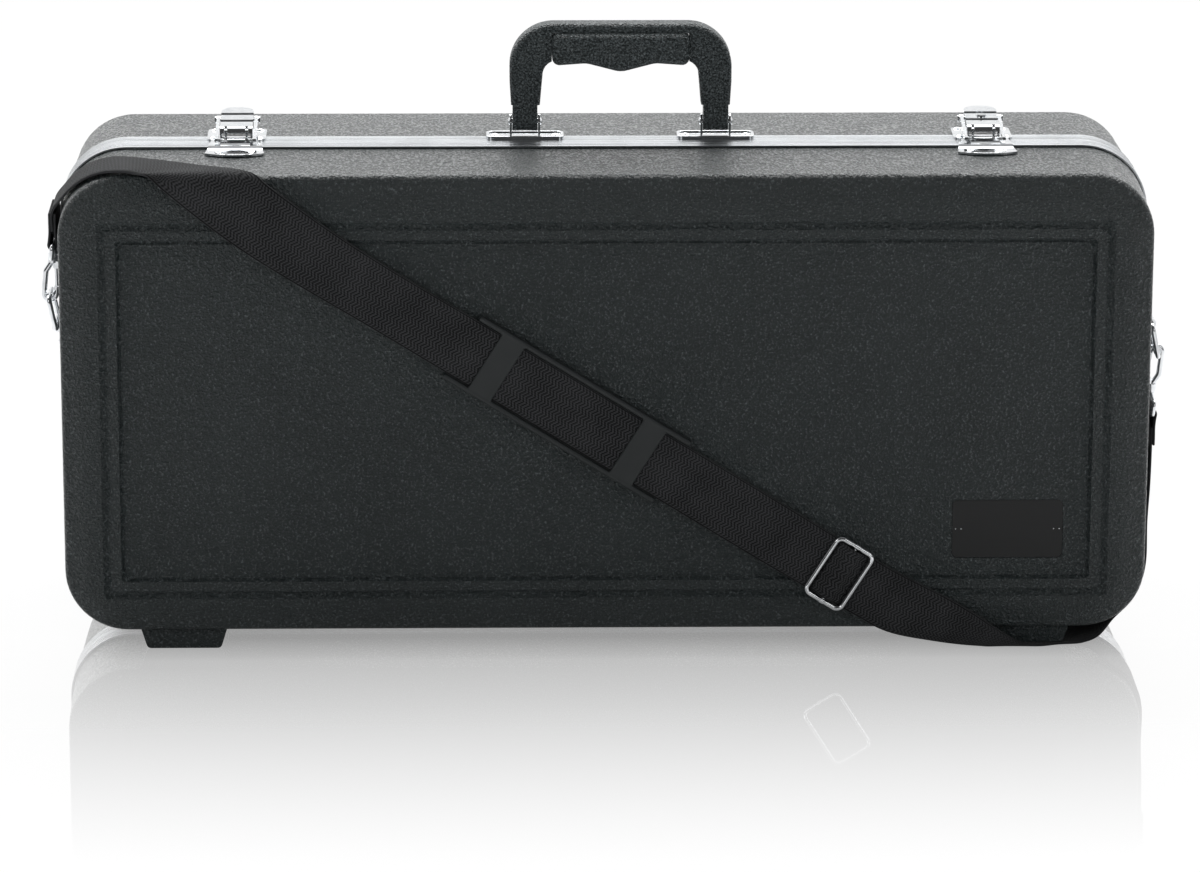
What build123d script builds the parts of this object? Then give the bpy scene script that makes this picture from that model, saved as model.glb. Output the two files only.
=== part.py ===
"""Alto saxophone case, standing upright on its moulded feet, closed and latched.

Millimetres. X runs along the case, Y from the front half (the lid) to the rear half (the base), Z up.
The origin lies under the middle of the case, on the surface that it stands on.
"""

import os
from math import atan2, cos, degrees, hypot, radians, sin, tan

from build123d import *

os.makedirs("parts", exist_ok=True)

# Case body
CASE_LENGTH = 664.0
CASE_HEIGHT = 288.8
CORNER_RADIUS = 40.0
LID_DEPTH = 83.5
BASE_DEPTH = 98.5
WALL = 3.0
DRAFT_ANGLE = 1.3
UNDERSIDE_Z = 11.1
PARTING_GAP = 0.2
SHOULDER_WIDTH = 14.0
SHOULDER_DROP = 3.5
RIM_FILLET = 3.5
SHOULDER_FILLET = 30.0
CASE_MID_Z = UNDERSIDE_Z + CASE_HEIGHT / 2
CASE_TOP_Z = UNDERSIDE_Z + CASE_HEIGHT
LID, BASE = -1, 1
LEFT, RIGHT = -1, 1

# Bordered panel moulded into both faces
BORDER_SIDES = 50.8
BORDER_ENDS = 52.6
BORDER_BAND = 22.0
BORDER_LENGTH = CASE_LENGTH - BORDER_SIDES
BORDER_HEIGHT = CASE_HEIGHT - BORDER_ENDS
BORDER_CORNER = 2.5
LAND_CORNER = 4.0
BORDER_GROOVE = 5.2
BORDER_FLOOR = 1.2
BORDER_DEPTH = 1.3
PANEL_LENGTH = BORDER_LENGTH - BORDER_BAND
PANEL_HEIGHT = BORDER_HEIGHT - BORDER_BAND
PANEL_DROP = 3.6
PANEL_CORNER = 3.0
PANEL_DEPTH = 1.1
PANEL_GROOVE = 3.2
PANEL_FLOOR = 0.8
PANEL_GROOVE_DEPTH = 1.7

# Badge recess, left bare
BADGE_LENGTH = 68.0
BADGE_HEIGHT = 37.0
BADGE_END = 87.0
BADGE_RISE = 65.4
BADGE_X = CASE_LENGTH / 2 - BADGE_END
BADGE_Z = UNDERSIDE_Z + BADGE_RISE
BADGE_CORNER = 3.0
BADGE_DEPTH = 0.6
BADGE_GAUGE = 0.5
BADGE_MARGIN = 0.3
STAPLE_RADIUS = 0.5
STAPLE_PITCH = 3.4
STAPLE_INSET = 4.0

# Moulded feet
FOOT_END = 73.5
FOOT_X = CASE_LENGTH / 2 - FOOT_END
FOOT_TOP_WIDTH = 53.0
FOOT_BOTTOM_WIDTH = 45.0
FOOT_INNER = 16.0
FOOT_SETBACK = 8.0
FOOT_FILLET = 3.0
FOOT_ROOT = 2.0

# Aluminium valance round each open edge
VALANCE_GAUGE = 1.0
VALANCE_FIT = 0.1
VALANCE_WIDTH = 14.3
VALANCE_WEB = 2.4
VALANCE_INNER_LEG = 10.0
TONGUE_WIDTH = 1.2
TONGUE_HEIGHT = 1.3
TONGUE_CLEARANCE = 0.2
LINE_WIDTH = 0.6
LINE_DEPTH = 0.3
LINE_PITCH = 3.2
LINE_COUNT = 3
VALANCE_SPREAD = VALANCE_FIT + VALANCE_GAUGE
INNER_LEG_SPREAD = WALL + VALANCE_FIT + (VALANCE_INNER_LEG + PARTING_GAP) * tan(radians(DRAFT_ANGLE))
VALANCE_TOP_Z = CASE_TOP_Z + VALANCE_SPREAD
VALANCE_BOTTOM_Z = UNDERSIDE_Z - VALANCE_SPREAD

# Rivets
RIVET_RADIUS = 1.3
RIVET_HEAD_RADIUS = 2.4
RIVET_HEAD_HEIGHT = 1.1
RIVET_FIT = 0.05

# Hinges under the case
HINGE_END = 127.0
HINGE_X = CASE_LENGTH / 2 - HINGE_END
HINGE_LENGTH = 50.0
HINGE_LEAF = 1.2
HINGE_LEAF_WIDTH = 13.3
HINGE_LEAF_START = 3.3
KNUCKLE_RADIUS = 3.0
KNUCKLE_COUNT = 5
KNUCKLE_GAP = 0.3
HINGE_PIN_RADIUS = 1.5
RUNNING_FIT = 0.06
HINGE_PIN_DROP = 3.5
HINGE_Z = VALANCE_BOTTOM_Z - HINGE_PIN_DROP
HINGE_RIVET_X = 18.0
HINGE_RIVET_V = 8.6

# Latches
LATCH_LEFT_END = 106.6
LATCH_RIGHT_END = 99.2
LATCH_LEFT_X = LATCH_LEFT_END - CASE_LENGTH / 2
LATCH_RIGHT_X = CASE_LENGTH / 2 - LATCH_RIGHT_END
LATCH_PLATE_WIDTH = 36.0
LATCH_PLATE_GAUGE = 1.2
LATCH_PLATE_START = 0.6
LATCH_PLATE_LENGTH = 30.0
LATCH_PLATE_CORNER = 4.0
LATCH_RIVET_X = 14.0
LATCH_EAR_X = 7.0
LATCH_EAR_GAUGE = 1.2
LATCH_EAR_FIT = 0.3
LEVER_WIDTH = 20.0
LEVER_GAUGE = 1.3
LEVER_NOSE_RADIUS = 3.5
LEVER_PIVOT_V = 4.0
LEVER_PIVOT_RISE = 3.9
LEVER_LENGTH = 35.5
LEVER_TIP_RISE = 5.0
LEVER_STEP = 0.7
LEVER_PIN_RADIUS = 1.0
BAIL_PIVOT_REACH = 22.0
BAIL_PIVOT_RISE = 2.8
BAIL_PIN_RADIUS = 1.1
BAIL_GAP = 0.5
BAIL_ARM = 2.2
BAIL_GAUGE = 1.8
BAIL_NOSE_V = -13.0
BAIL_NOSE_BAR = 6.0
BAIL_EYE_RADIUS = 2.4
CATCH_START = 0.6
CATCH_FRONT_V = 31.0
CATCH_NARROW = 30.0
CATCH_WIDE = 36.0
CATCH_BULGE = 5.0
CATCH_HOOK_WIDTH = 18.0
CATCH_CLEARANCE = 0.4
CATCH_RIVET_V = 25.0
CATCH_RIVET_X = 10.0
LOCK_RADIUS = 3.2
LOCK_HEIGHT = 4.0
LOCK_SLOT = 0.9
LOCK_REACH = 16.0
LOCK_PROUD = 0.5

# Handle
HANDLE_X = 10.0
HANDLE_V = 11.0
HANDLE_WIDTH = 136.0
HANDLE_RISE = 73.1
HANDLE_TOP_Z = CASE_TOP_Z + HANDLE_RISE
HANDLE_LEG_PITCH = 117.1
HANDLE_LEG_TOP = 21.0
HANDLE_LEG_BOTTOM = 15.2
HANDLE_PIN_RISE = 11.1
HANDLE_PIN_Z = CASE_TOP_Z + HANDLE_PIN_RISE
HANDLE_PIN_RADIUS = 1.8
HANDLE_OPENING_DROP = 23.0
HANDLE_OPENING_TOP = HANDLE_TOP_Z - HANDLE_OPENING_DROP
HANDLE_OUTER_RADIUS = 27.0
HANDLE_INNER_RADIUS = 9.0
HANDLE_THICKNESS = 15.0
HANDLE_EDGE = 2.5
GRIP_LENGTH = 84.0
GRIP_DROP = 5.5
GRIP_DEPTH = 20.0
GRIP_TOP_Z = HANDLE_TOP_Z - GRIP_DROP
GRIP_BOTTOM_Z = GRIP_TOP_Z - GRIP_DEPTH
GRIP_WAVE = 4.0
GRIP_RISE = 1.5
GRIP_BEND = 16.0
GRIP_THICKNESS = 24.0
GRIP_FIT = 0.15
GRIP_EDGE = 3.5
GRIP_CORNER = 4.5
HANDLE_PLATE_LENGTH = 47.6
HANDLE_PLATE_WIDTH = 17.0
HANDLE_PLATE_GAUGE = 1.4
HANDLE_PLATE_BEAD = 0.9
HANDLE_EAR_GAUGE = 1.2
HANDLE_EAR_GAP = 0.5
HANDLE_EAR_WIDTH = 9.0
HANDLE_RIVET_X = 18.5

# Rings and snap hooks at the two ends
RING_RISE = 39.0
RING_Z = CASE_MID_Z + RING_RISE
RING_V = 33.5
RING_WIRE = 1.6
RING_WIDTH = 27.0
RING_HEIGHT = 20.0
RING_OFFSET = 1.9
RING_TILT = 12.0
RING_PLATE_WIDTH = 24.0
RING_PLATE_HEIGHT = 26.0
RING_PLATE_GAUGE = 1.2
RING_LUG_WIDTH = 12.0
HOOK_WIRE = 1.7
HOOK_LENGTH = 20.0
HOOK_LEAN = 6.0
HOOK_BOW_RADIUS = 3.7
HOOK_GATE_WIRE = 1.0
HOOK_COLLAR_RADIUS = 3.2
HOOK_COLLAR_HEIGHT = 5.0
EYE_WIRE = 1.5
EYE_HEIGHT = 8.0

# Shoulder strap
STRAP_WIDTH = 38.0
STRAP_GAUGE = 1.5
STRAP_TOP_END = 74.19
STRAP_FOOT_END = 127.63
STRAP_RUN = CASE_LENGTH - STRAP_TOP_END - STRAP_FOOT_END
STRAP_ANGLE = degrees(atan2(CASE_HEIGHT, STRAP_RUN))
STRAP_LIFT = 1.1
PAD_DROP = 1.7
STRAP_MID_Z = CASE_MID_Z - PAD_DROP
STRAP_MID_X = STRAP_TOP_END - CASE_LENGTH / 2 + (CASE_TOP_Z - STRAP_MID_Z) * STRAP_RUN / CASE_HEIGHT
FACE_TOP_DROP = 44.9
FACE_FOOT_RISE = 40.9
STRAP_CLEARANCE = 0.3
PAD_LENGTH = 151.0
PAD_FIT = 0.3
PAD_BASE = 1.6
PAD_RAIL = 3.6
PAD_BAR = 16.0
PAD_BAR_INSET = 17.0
PAD_COVER = 1.6
SLIDER_LENGTH = 43.0
SLIDER_BREADTH = 28.0
SLIDER_WIRE = 1.5
SLIDER_ALONG = 196.0
SLIDER_COLLAR = 1.9
SLIDER_BAR = 1.2
SLIDER_LOOP_SPAN = 19.0
LOOP_MARGIN = 1.3

# The parting plane lies where the whole object, strap included, is centred front to back
STRAP_PROUD = STRAP_LIFT + 2 * STRAP_GAUGE + 2 * STRAP_CLEARANCE + SLIDER_COLLAR + SLIDER_BAR
PARTING_Y = (LID_DEPTH + STRAP_PROUD - BASE_DEPTH) / 2
HINGE_Y = PARTING_Y
HANDLE_Y = PARTING_Y + HANDLE_V

# Linings
LINER_GAP = 0.15
LINER_BACK = 9.0
LINER_SIDE = 11.0
LINER_RECESS = 3.0
RECESS_END = 32.0
RECESS_HEAD = 37.9
RECESS_FOOT = 34.9
BOX_DROP = 57.9
BOX_LENGTH = 152.0
BOX_HEIGHT = 66.0
BOX_X = RECESS_END - CASE_LENGTH / 2
BOX_Z = CASE_TOP_Z - BOX_DROP - BOX_HEIGHT
BOX_DEPTH = 70.0
BOX_LID_GAUGE = 5.0
BOX_LID_FIT = 1.0
RIBBON_WIDTH = 16.0
RIBBON_GAUGE = 1.0
RIBBON_LENGTH = 18.0
BODY_RECESS_DEPTH = 80.0
BODY_RECESS_ROUND = 0.44
BELL_END = 212.0
BELL_DROP = 113.9
BELL_RADIUS = 70.0
BELL_OVERLAP = 12.0
NECK_RECESS_DEPTH = 50.0
NECK_END = 202.0
NECK_LENGTH = 164.0
NECK_HEIGHT = 76.0
NECK_CORNER = 20.0
MOUTHPIECE_LENGTH = 86.0
MOUTHPIECE_HEIGHT = 66.0
MOUTHPIECE_CORNER = 16.0


def face_plane(half, depth, sink=0.0):
    """Plane across one half at a depth from the parting plane. Its normal leaves the case."""
    return Plane(origin=(0, PARTING_Y + half * depth, CASE_MID_Z - sink), x_dir=(1, 0, 0), z_dir=(0, half, 0))


def outline(spread):
    """Case outline at the parting plane, grown by spread."""
    return RectangleRounded(CASE_LENGTH + 2 * spread, CASE_HEIGHT + 2 * spread, CORNER_RADIUS + spread)


def frustum(plane, length, height, radius, inset, depth):
    """Block under a plane whose outline draws in by inset over its depth."""
    top = plane * RectangleRounded(length, height, radius)
    small = RectangleRounded(length - 2 * inset, height - 2 * inset, max(radius - inset, 0.5))
    return loft([top, plane.offset(-depth) * small], ruled=True)


def ring_band(half, start, end, outer, inner):
    """Band that follows the case outline, from one depth to another, between two spreads."""
    band = face_plane(half, start) * (outline(outer) - outline(inner))
    return extrude(band, amount=end - start)


def flat_outline(points, radius):
    """Closed outline in a plane's own two directions, with one corner radius."""
    if radius:
        return make_face(FilletPolyline(*points, radius=radius, close=True))
    return make_face(Polyline(*points, close=True))


def slab_yz(points, x_from, x_to, radius=0.0):
    """Plate with its outline in Y and Z, between two places in X."""
    plane = Plane(origin=(x_from, 0, 0), x_dir=(0, 1, 0), z_dir=(1, 0, 0))
    return extrude(plane * flat_outline(points, radius), amount=x_to - x_from)


def slab_xz(points, y_from, y_to, radius=0.0):
    """Plate with its outline in X and Z, between two places in Y."""
    plane = Plane(origin=(0, y_to, 0), x_dir=(1, 0, 0), z_dir=(0, -1, 0))
    return extrude(plane * flat_outline(points, radius), amount=y_to - y_from)


def slab_xy(points, z_from, z_to, radius=0.0):
    """Plate with its outline in X and Y, between two heights."""
    plane = Plane(origin=(0, 0, z_from), x_dir=(1, 0, 0), z_dir=(0, 0, 1))
    return extrude(plane * flat_outline(points, radius), amount=z_to - z_from)


def corners(low_a, high_a, low_b, high_b):
    """Four corner points of a rectangle."""
    return [(low_a, low_b), (high_a, low_b), (high_a, high_b), (low_a, high_b)]


def rod(start, end, radius):
    """Round bar from one point to another."""
    direction = Vector(*end) - Vector(*start)
    return extrude(Plane(origin=start, z_dir=direction) * Circle(radius), amount=direction.length)


def wire_bar(points, radius, bend, closed=False):
    """Round wire along straight runs joined by bends."""
    path = FilletPolyline(*points, radius=bend, close=closed)
    section = Plane(origin=path @ 0, z_dir=path % 0) * Circle(radius)
    return sweep(section, path=path)


def half_block(half, depth, inset, rounded):
    """Solid block of one half, drawn in by inset; rounded gives it the moulded rim and shoulder."""
    straight = depth - SHOULDER_DROP
    body = extrude(face_plane(half, 0) * outline(-inset), amount=straight, taper=DRAFT_ANGLE)
    rim = body.faces().sort_by(Axis.Y)[0 if half == LID else -1]
    block = body + extrude(rim, amount=SHOULDER_DROP, taper=degrees(atan2(SHOULDER_WIDTH, SHOULDER_DROP)))
    if rounded:
        for at, radius in ((depth, SHOULDER_FILLET), (straight, RIM_FILLET)):
            y = PARTING_Y + half * at
            block = fillet(block.edges().filter_by_position(Axis.Y, y - 0.01, y + 0.01), radius)
    return block


def foot(half, side, depth, bottom_z):
    """Moulded foot, wider at its root than where it stands."""
    root_z = UNDERSIDE_Z + FOOT_ROOT
    points = [
        (side * FOOT_X - FOOT_TOP_WIDTH / 2, root_z),
        (side * FOOT_X - FOOT_BOTTOM_WIDTH / 2, bottom_z),
        (side * FOOT_X + FOOT_BOTTOM_WIDTH / 2, bottom_z),
        (side * FOOT_X + FOOT_TOP_WIDTH / 2, root_z),
    ]
    ends = sorted((PARTING_Y + half * FOOT_INNER, PARTING_Y + half * (depth - FOOT_SETBACK)))
    block = slab_xz(points, *ends)
    low = block.edges().filter_by_position(Axis.Z, bottom_z - 0.01, bottom_z + 0.01)
    return fillet(low.filter_by(Axis.Y), FOOT_FILLET)


def groove(plane, length, height, corner, inner_corner, width, floor, depth):
    """Sloped groove that follows a rectangle; its outline is the groove's outer edge."""
    slope = (width - floor) / 2
    land_length, land_height = length - 2 * width, height - 2 * width
    top = plane * RectangleRounded(land_length, land_height, inner_corner)
    foot_face = RectangleRounded(land_length + 2 * slope, land_height + 2 * slope, inner_corner + slope)
    land = loft([top, plane.offset(-depth) * foot_face], ruled=True)
    return frustum(plane, length, height, corner, slope, depth) - land


def bordered_face(half, depth):
    """What the mould takes out of a face: the border's groove, the panel's groove and the sunk panel."""
    plane = face_plane(half, depth, PANEL_DROP)
    border = groove(plane, BORDER_LENGTH, BORDER_HEIGHT, BORDER_CORNER, LAND_CORNER,
                    BORDER_GROOVE, BORDER_FLOOR, BORDER_DEPTH)
    edge = groove(plane, PANEL_LENGTH, PANEL_HEIGHT, PANEL_CORNER, PANEL_CORNER,
                  PANEL_GROOVE, PANEL_FLOOR, PANEL_GROOVE_DEPTH)
    slope = (PANEL_GROOVE - PANEL_FLOOR) / 2
    inset = slope * PANEL_DEPTH / PANEL_GROOVE_DEPTH
    panel = frustum(plane, PANEL_LENGTH, PANEL_HEIGHT, PANEL_CORNER, inset, PANEL_DEPTH)
    return border + edge + panel


def case_shell(half, depth, foot_bottoms):
    """Vacuum-formed shell of one half with its feet."""
    block = half_block(half, depth, 0.0, True)
    for side, bottom_z in foot_bottoms.items():
        block += foot(half, side, depth, bottom_z)
    block -= half_block(half, depth - WALL, WALL, False)
    block -= bordered_face(half, depth)
    edge = VALANCE_WEB + VALANCE_FIT + PARTING_GAP / 2
    return block - ring_band(half, -1.0, edge, VALANCE_SPREAD + 1.0, -CORNER_RADIUS + 1.0)


def valance(half):
    """Aluminium extrusion that wraps a shell's open edge, with lengthwise lines on its outer leg."""
    start = PARTING_GAP / 2
    inner = -INNER_LEG_SPREAD - VALANCE_GAUGE
    frame = ring_band(half, start, VALANCE_WIDTH, VALANCE_SPREAD, VALANCE_FIT)
    frame += ring_band(half, start, start + VALANCE_WEB, VALANCE_SPREAD, inner)
    frame += ring_band(half, start, start + VALANCE_INNER_LEG, -INNER_LEG_SPREAD, inner)
    for line in range(LINE_COUNT):
        at = LINE_PITCH * (line + 1)
        frame -= ring_band(half, at, at + LINE_WIDTH, VALANCE_SPREAD + 1.0, VALANCE_SPREAD - LINE_DEPTH)
    middle = -WALL / 2
    if half == BASE:
        half_width = TONGUE_WIDTH / 2
        return frame + ring_band(BASE, -TONGUE_HEIGHT, start, middle + half_width, middle - half_width)
    half_width = TONGUE_WIDTH / 2 + TONGUE_CLEARANCE
    depth = TONGUE_HEIGHT + TONGUE_CLEARANCE + PARTING_GAP
    return frame - ring_band(LID, 0.0, depth, middle + half_width, middle - half_width)


def top_of_shell(v):
    """Height of a shell's top at a distance from the parting plane."""
    return CASE_TOP_Z - v * tan(radians(DRAFT_ANGLE))


def across(low, high, y, z, radius):
    """Round bar that runs across the case, from one x to another."""
    return rod((low, y, z), (high, y, z), radius)


def dome(centre, direction, radius, height):
    """Shallow domed head that stands on a surface."""
    sphere_radius = (radius**2 + height**2) / (2 * height)
    plane = Plane(origin=centre, z_dir=direction)
    ball = plane * Pos(0, 0, height - sphere_radius) * Sphere(sphere_radius)
    return ball & extrude(plane * Circle(radius + 1), amount=height + 1)


def rivet(centre, direction, reach):
    """Domed rivet whose shank reaches back through what it holds."""
    head = dome(centre, direction, RIVET_HEAD_RADIUS, RIVET_HEAD_HEIGHT)
    back = Vector(*centre) - Vector(*direction) * reach
    return head + rod(back, centre, RIVET_RADIUS)


def rivet_hole(centre, direction, reach):
    """Hole for a rivet's shank."""
    back = Vector(*centre) - Vector(*direction) * (reach + 1)
    front = Vector(*centre) + Vector(*direction)
    return rod(back, front, RIVET_RADIUS + RIVET_FIT)


# Where the rivets go: a place on the outside of the plate, the way its head faces, and how far it reaches
PLATE_TOP_Z = VALANCE_TOP_Z + LATCH_PLATE_GAUGE
HANDLE_PLATE_TOP_Z = VALANCE_TOP_Z + HANDLE_PLATE_GAUGE
UP, DOWN = (0, 0, 1), (0, 0, -1)
LATCH_XS = {"left": LATCH_LEFT_X, "right": LATCH_RIGHT_X}
PLATE_XS = {
    "left": HANDLE_X - HANDLE_LEG_PITCH / 2,
    "right": HANDLE_X + HANDLE_LEG_PITCH / 2,
}
CATCH_Z = top_of_shell(VALANCE_WIDTH) + 0.1
RIVET_REACH = VALANCE_SPREAD + WALL
LATCH_RIVET_V = (LATCH_PLATE_START + 4.5, LATCH_PLATE_START + LATCH_PLATE_LENGTH - 4.5)
latch_rivets = [
    ((x + side * LATCH_RIVET_X, PARTING_Y + v, PLATE_TOP_Z), UP, RIVET_REACH + LATCH_PLATE_GAUGE)
    for x in LATCH_XS.values() for side in (LEFT, RIGHT) for v in LATCH_RIVET_V
]
catch_rivets = [
    ((x + side * CATCH_RIVET_X, PARTING_Y - CATCH_RIVET_V, CATCH_Z + LATCH_PLATE_GAUGE), UP, WALL + 2)
    for x in LATCH_XS.values() for side in (LEFT, RIGHT)
]
handle_rivets = [
    ((x + side * HANDLE_RIVET_X, HANDLE_Y, HANDLE_PLATE_TOP_Z), UP, RIVET_REACH + HANDLE_PLATE_GAUGE)
    for x in PLATE_XS.values() for side in (LEFT, RIGHT)
]
HINGE_XS = (-HINGE_X, 0.0, HINGE_X)
LEAF_BOTTOM_Z = VALANCE_BOTTOM_Z - HINGE_LEAF
hinge_rivets = {
    half: [
        ((x + side * HINGE_RIVET_X, PARTING_Y + half * HINGE_RIVET_V, LEAF_BOTTOM_Z), DOWN,
         RIVET_REACH + HINGE_LEAF)
        for x in HINGE_XS for side in (LEFT, RIGHT)
    ]
    for half in (LID, BASE)
}
WALL_X = CASE_LENGTH / 2 - RING_V * tan(radians(DRAFT_ANGLE))
RING_PLATE_X = WALL_X + RING_PLATE_GAUGE + 0.3
RING_Y = PARTING_Y - RING_V
ring_rivets = [
    ((side * RING_PLATE_X, RING_Y + along, RING_Z - 8.5), (side, 0, 0), WALL + RING_PLATE_GAUGE + 0.4)
    for side in (LEFT, RIGHT) for along in (-8.0, 8.0)
]


def drilled(part, places):
    """The part with a rivet hole at each place."""
    for place in places:
        part -= rivet_hole(*place)
    return part


def hinge_leaves(half):
    """Three hinge leaves of one half, each with its share of the knuckles."""
    leaves = []
    pitch = HINGE_LENGTH / KNUCKLE_COUNT
    own = range(0 if half == BASE else 1, KNUCKLE_COUNT, 2)
    for x in HINGE_XS:
        spread = sorted((HINGE_Y + half * HINGE_LEAF_START, HINGE_Y + half * HINGE_LEAF_WIDTH))
        points = corners(x - HINGE_LENGTH / 2, x + HINGE_LENGTH / 2, *spread)
        leaf = slab_xy(points, LEAF_BOTTOM_Z, VALANCE_BOTTOM_Z)
        for index in own:
            low = x - HINGE_LENGTH / 2 + index * pitch + KNUCKLE_GAP / 2
            high = low + pitch - KNUCKLE_GAP
            leaf += across(low, high, HINGE_Y, HINGE_Z, KNUCKLE_RADIUS)
            tab = sorted((HINGE_Y + half * 0.2, HINGE_Y + half * (HINGE_LEAF_START + 0.5)))
            leaf += slab_yz(corners(*tab, HINGE_Z + 1.0, VALANCE_BOTTOM_Z - 0.1), low, high)
        bore = across(x - HINGE_LENGTH, x + HINGE_LENGTH, HINGE_Y, HINGE_Z, HINGE_PIN_RADIUS + RUNNING_FIT)
        leaves.append(drilled(leaf - bore, hinge_rivets[half]))
    return leaves


def hinge_pins():
    """Pins of the three hinges, each with a small head past the end knuckles."""
    pins = []
    for x in HINGE_XS:
        half_length = HINGE_LENGTH / 2 + 0.4
        pin = across(x - half_length, x + half_length, HINGE_Y, HINGE_Z, HINGE_PIN_RADIUS)
        for side in (LEFT, RIGHT):
            end = (x + side * (HINGE_LENGTH / 2 + 0.2), HINGE_Y, HINGE_Z)
            pin += rod(end, (end[0] + side, HINGE_Y, HINGE_Z), HINGE_PIN_RADIUS + 0.8)
        pins.append(pin)
    return pins


# Latch places, measured from the parting plane and the top of the valance
LEVER_PIVOT_Y = PARTING_Y + LEVER_PIVOT_V
LEVER_PIVOT_Z = PLATE_TOP_Z + LEVER_PIVOT_RISE
BAIL_PIVOT_Y = LEVER_PIVOT_Y + BAIL_PIVOT_REACH
BAIL_PIVOT_Z = LEVER_PIVOT_Z + BAIL_PIVOT_RISE
BAIL_NOSE_Y = PARTING_Y + BAIL_NOSE_V
BAIL_UNDER_Z = PLATE_TOP_Z + 1.4
SKIRT_X = LEVER_WIDTH / 2 - LEVER_GAUGE
LATCH_EAR_RADIUS = LEVER_NOSE_RADIUS - LEVER_GAUGE - LATCH_EAR_FIT


def latch_base(x):
    """Latch base plate with the two ears that carry the lever."""
    points = corners(x - LATCH_PLATE_WIDTH / 2, x + LATCH_PLATE_WIDTH / 2,
                     PARTING_Y + LATCH_PLATE_START, PARTING_Y + LATCH_PLATE_START + LATCH_PLATE_LENGTH)
    plate = slab_xy(points, VALANCE_TOP_Z, PLATE_TOP_Z, LATCH_PLATE_CORNER)
    window = corners(x - LEVER_WIDTH / 2 + 1, x + LEVER_WIDTH / 2 - 1,
                     LEVER_PIVOT_Y + LATCH_EAR_RADIUS + 4, PARTING_Y + LATCH_PLATE_LENGTH - 4)
    plate -= slab_xy(window, VALANCE_TOP_Z - 1, PLATE_TOP_Z + 1, 2.0)
    for side in (LEFT, RIGHT):
        low, high = sorted((x + side * LATCH_EAR_X, x + side * (LATCH_EAR_X - LATCH_EAR_GAUGE)))
        ear = slab_yz(corners(LEVER_PIVOT_Y - LATCH_EAR_RADIUS, LEVER_PIVOT_Y + LATCH_EAR_RADIUS,
                              PLATE_TOP_Z - 0.5, LEVER_PIVOT_Z), low, high)
        ear += across(low, high, LEVER_PIVOT_Y, LEVER_PIVOT_Z, LATCH_EAR_RADIUS)
        plate += ear
    bore = across(x - LEVER_WIDTH, x + LEVER_WIDTH, LEVER_PIVOT_Y, LEVER_PIVOT_Z, LEVER_PIN_RADIUS + RUNNING_FIT)
    return drilled(plate - bore, latch_rivets)


def lever_pins():
    """Pins that the two levers turn on."""
    half_length = LEVER_WIDTH / 2 - 0.1
    return [
        across(x - half_length, x + half_length, LEVER_PIVOT_Y, LEVER_PIVOT_Z, LEVER_PIN_RADIUS)
        for x in LATCH_XS.values()
    ]


def latch_lever(x, with_lock):
    """Pressed lever: a stepped top with skirts, a rounded nose at its pivot and a rounded finger end."""
    nose_y = LEVER_PIVOT_Y - LEVER_NOSE_RADIUS
    tip_y = nose_y + LEVER_LENGTH
    top_z = LEVER_PIVOT_Z + LEVER_NOSE_RADIUS
    span = (tip_y - LEVER_PIVOT_Y) / 3
    rise = (LEVER_TIP_RISE - 2 * LEVER_STEP) / 3
    upper, z = [], top_z
    for flat in range(3):
        upper.append((LEVER_PIVOT_Y + flat * span, z))
        z += rise
        upper.append((LEVER_PIVOT_Y + (flat + 1) * span - 0.01, z))
        z += LEVER_STEP
    lower = [(y, z - LEVER_GAUGE) for y, z in reversed(upper)]
    top = slab_yz(upper + lower, x - LEVER_WIDTH / 2, x + LEVER_WIDTH / 2)
    skirt_end = BAIL_PIVOT_Y + 4.5
    skirt_low = PLATE_TOP_Z + 1.0
    skirt_points = [
        (LEVER_PIVOT_Y, LEVER_PIVOT_Z - LEVER_NOSE_RADIUS + 1.0),
        (LEVER_PIVOT_Y + 6, skirt_low + 2.0),
        (skirt_end, BAIL_PIVOT_Z - 2.2),
        (skirt_end, top_z + 2.0),
        (LEVER_PIVOT_Y, top_z - 0.5),
    ]
    body = top
    for side in (LEFT, RIGHT):
        low, high = sorted((x + side * SKIRT_X, x + side * LEVER_WIDTH / 2))
        body += slab_yz(skirt_points, low, high)
        body += across(low, high, LEVER_PIVOT_Y, LEVER_PIVOT_Z, LEVER_NOSE_RADIUS)
    nose = across(x - LEVER_WIDTH / 2, x + LEVER_WIDTH / 2, LEVER_PIVOT_Y, LEVER_PIVOT_Z, LEVER_NOSE_RADIUS)
    hollow = across(x - LEVER_WIDTH, x + LEVER_WIDTH, LEVER_PIVOT_Y, LEVER_PIVOT_Z, LATCH_EAR_RADIUS + 0.2)
    hood_box = slab_yz(corners(nose_y - 1, LEVER_PIVOT_Y, LEVER_PIVOT_Z, top_z + 1), x - SKIRT_X, x + SKIRT_X)
    body += (nose & hood_box) - hollow
    for side in (LEFT, RIGHT):
        ear_inside = LATCH_EAR_X - LATCH_EAR_GAUGE - LATCH_EAR_FIT
        ends = sorted((x + side * (LATCH_EAR_X + LATCH_EAR_FIT), x + side * ear_inside))
        ear_slot = corners(nose_y - 1, LEVER_PIVOT_Y + 2 * LATCH_EAR_FIT, skirt_low - 5, top_z + 1)
        body -= slab_yz(ear_slot, *ends)
    plan = slab_xy(corners(x - LEVER_WIDTH / 2, x + LEVER_WIDTH / 2, nose_y - 20, tip_y), 0, 2 * top_z, 8.0)
    body &= plan
    for y, z, radius in ((LEVER_PIVOT_Y, LEVER_PIVOT_Z, LEVER_PIN_RADIUS),
                         (BAIL_PIVOT_Y, BAIL_PIVOT_Z, BAIL_PIN_RADIUS)):
        body -= across(x - LEVER_WIDTH, x + LEVER_WIDTH, y, z, radius + RUNNING_FIT)
    if with_lock:
        body -= rod((x, LOCK_Y, 0), (x, LOCK_Y, 2 * top_z), LOCK_RADIUS + RUNNING_FIT)
    return body


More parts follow.
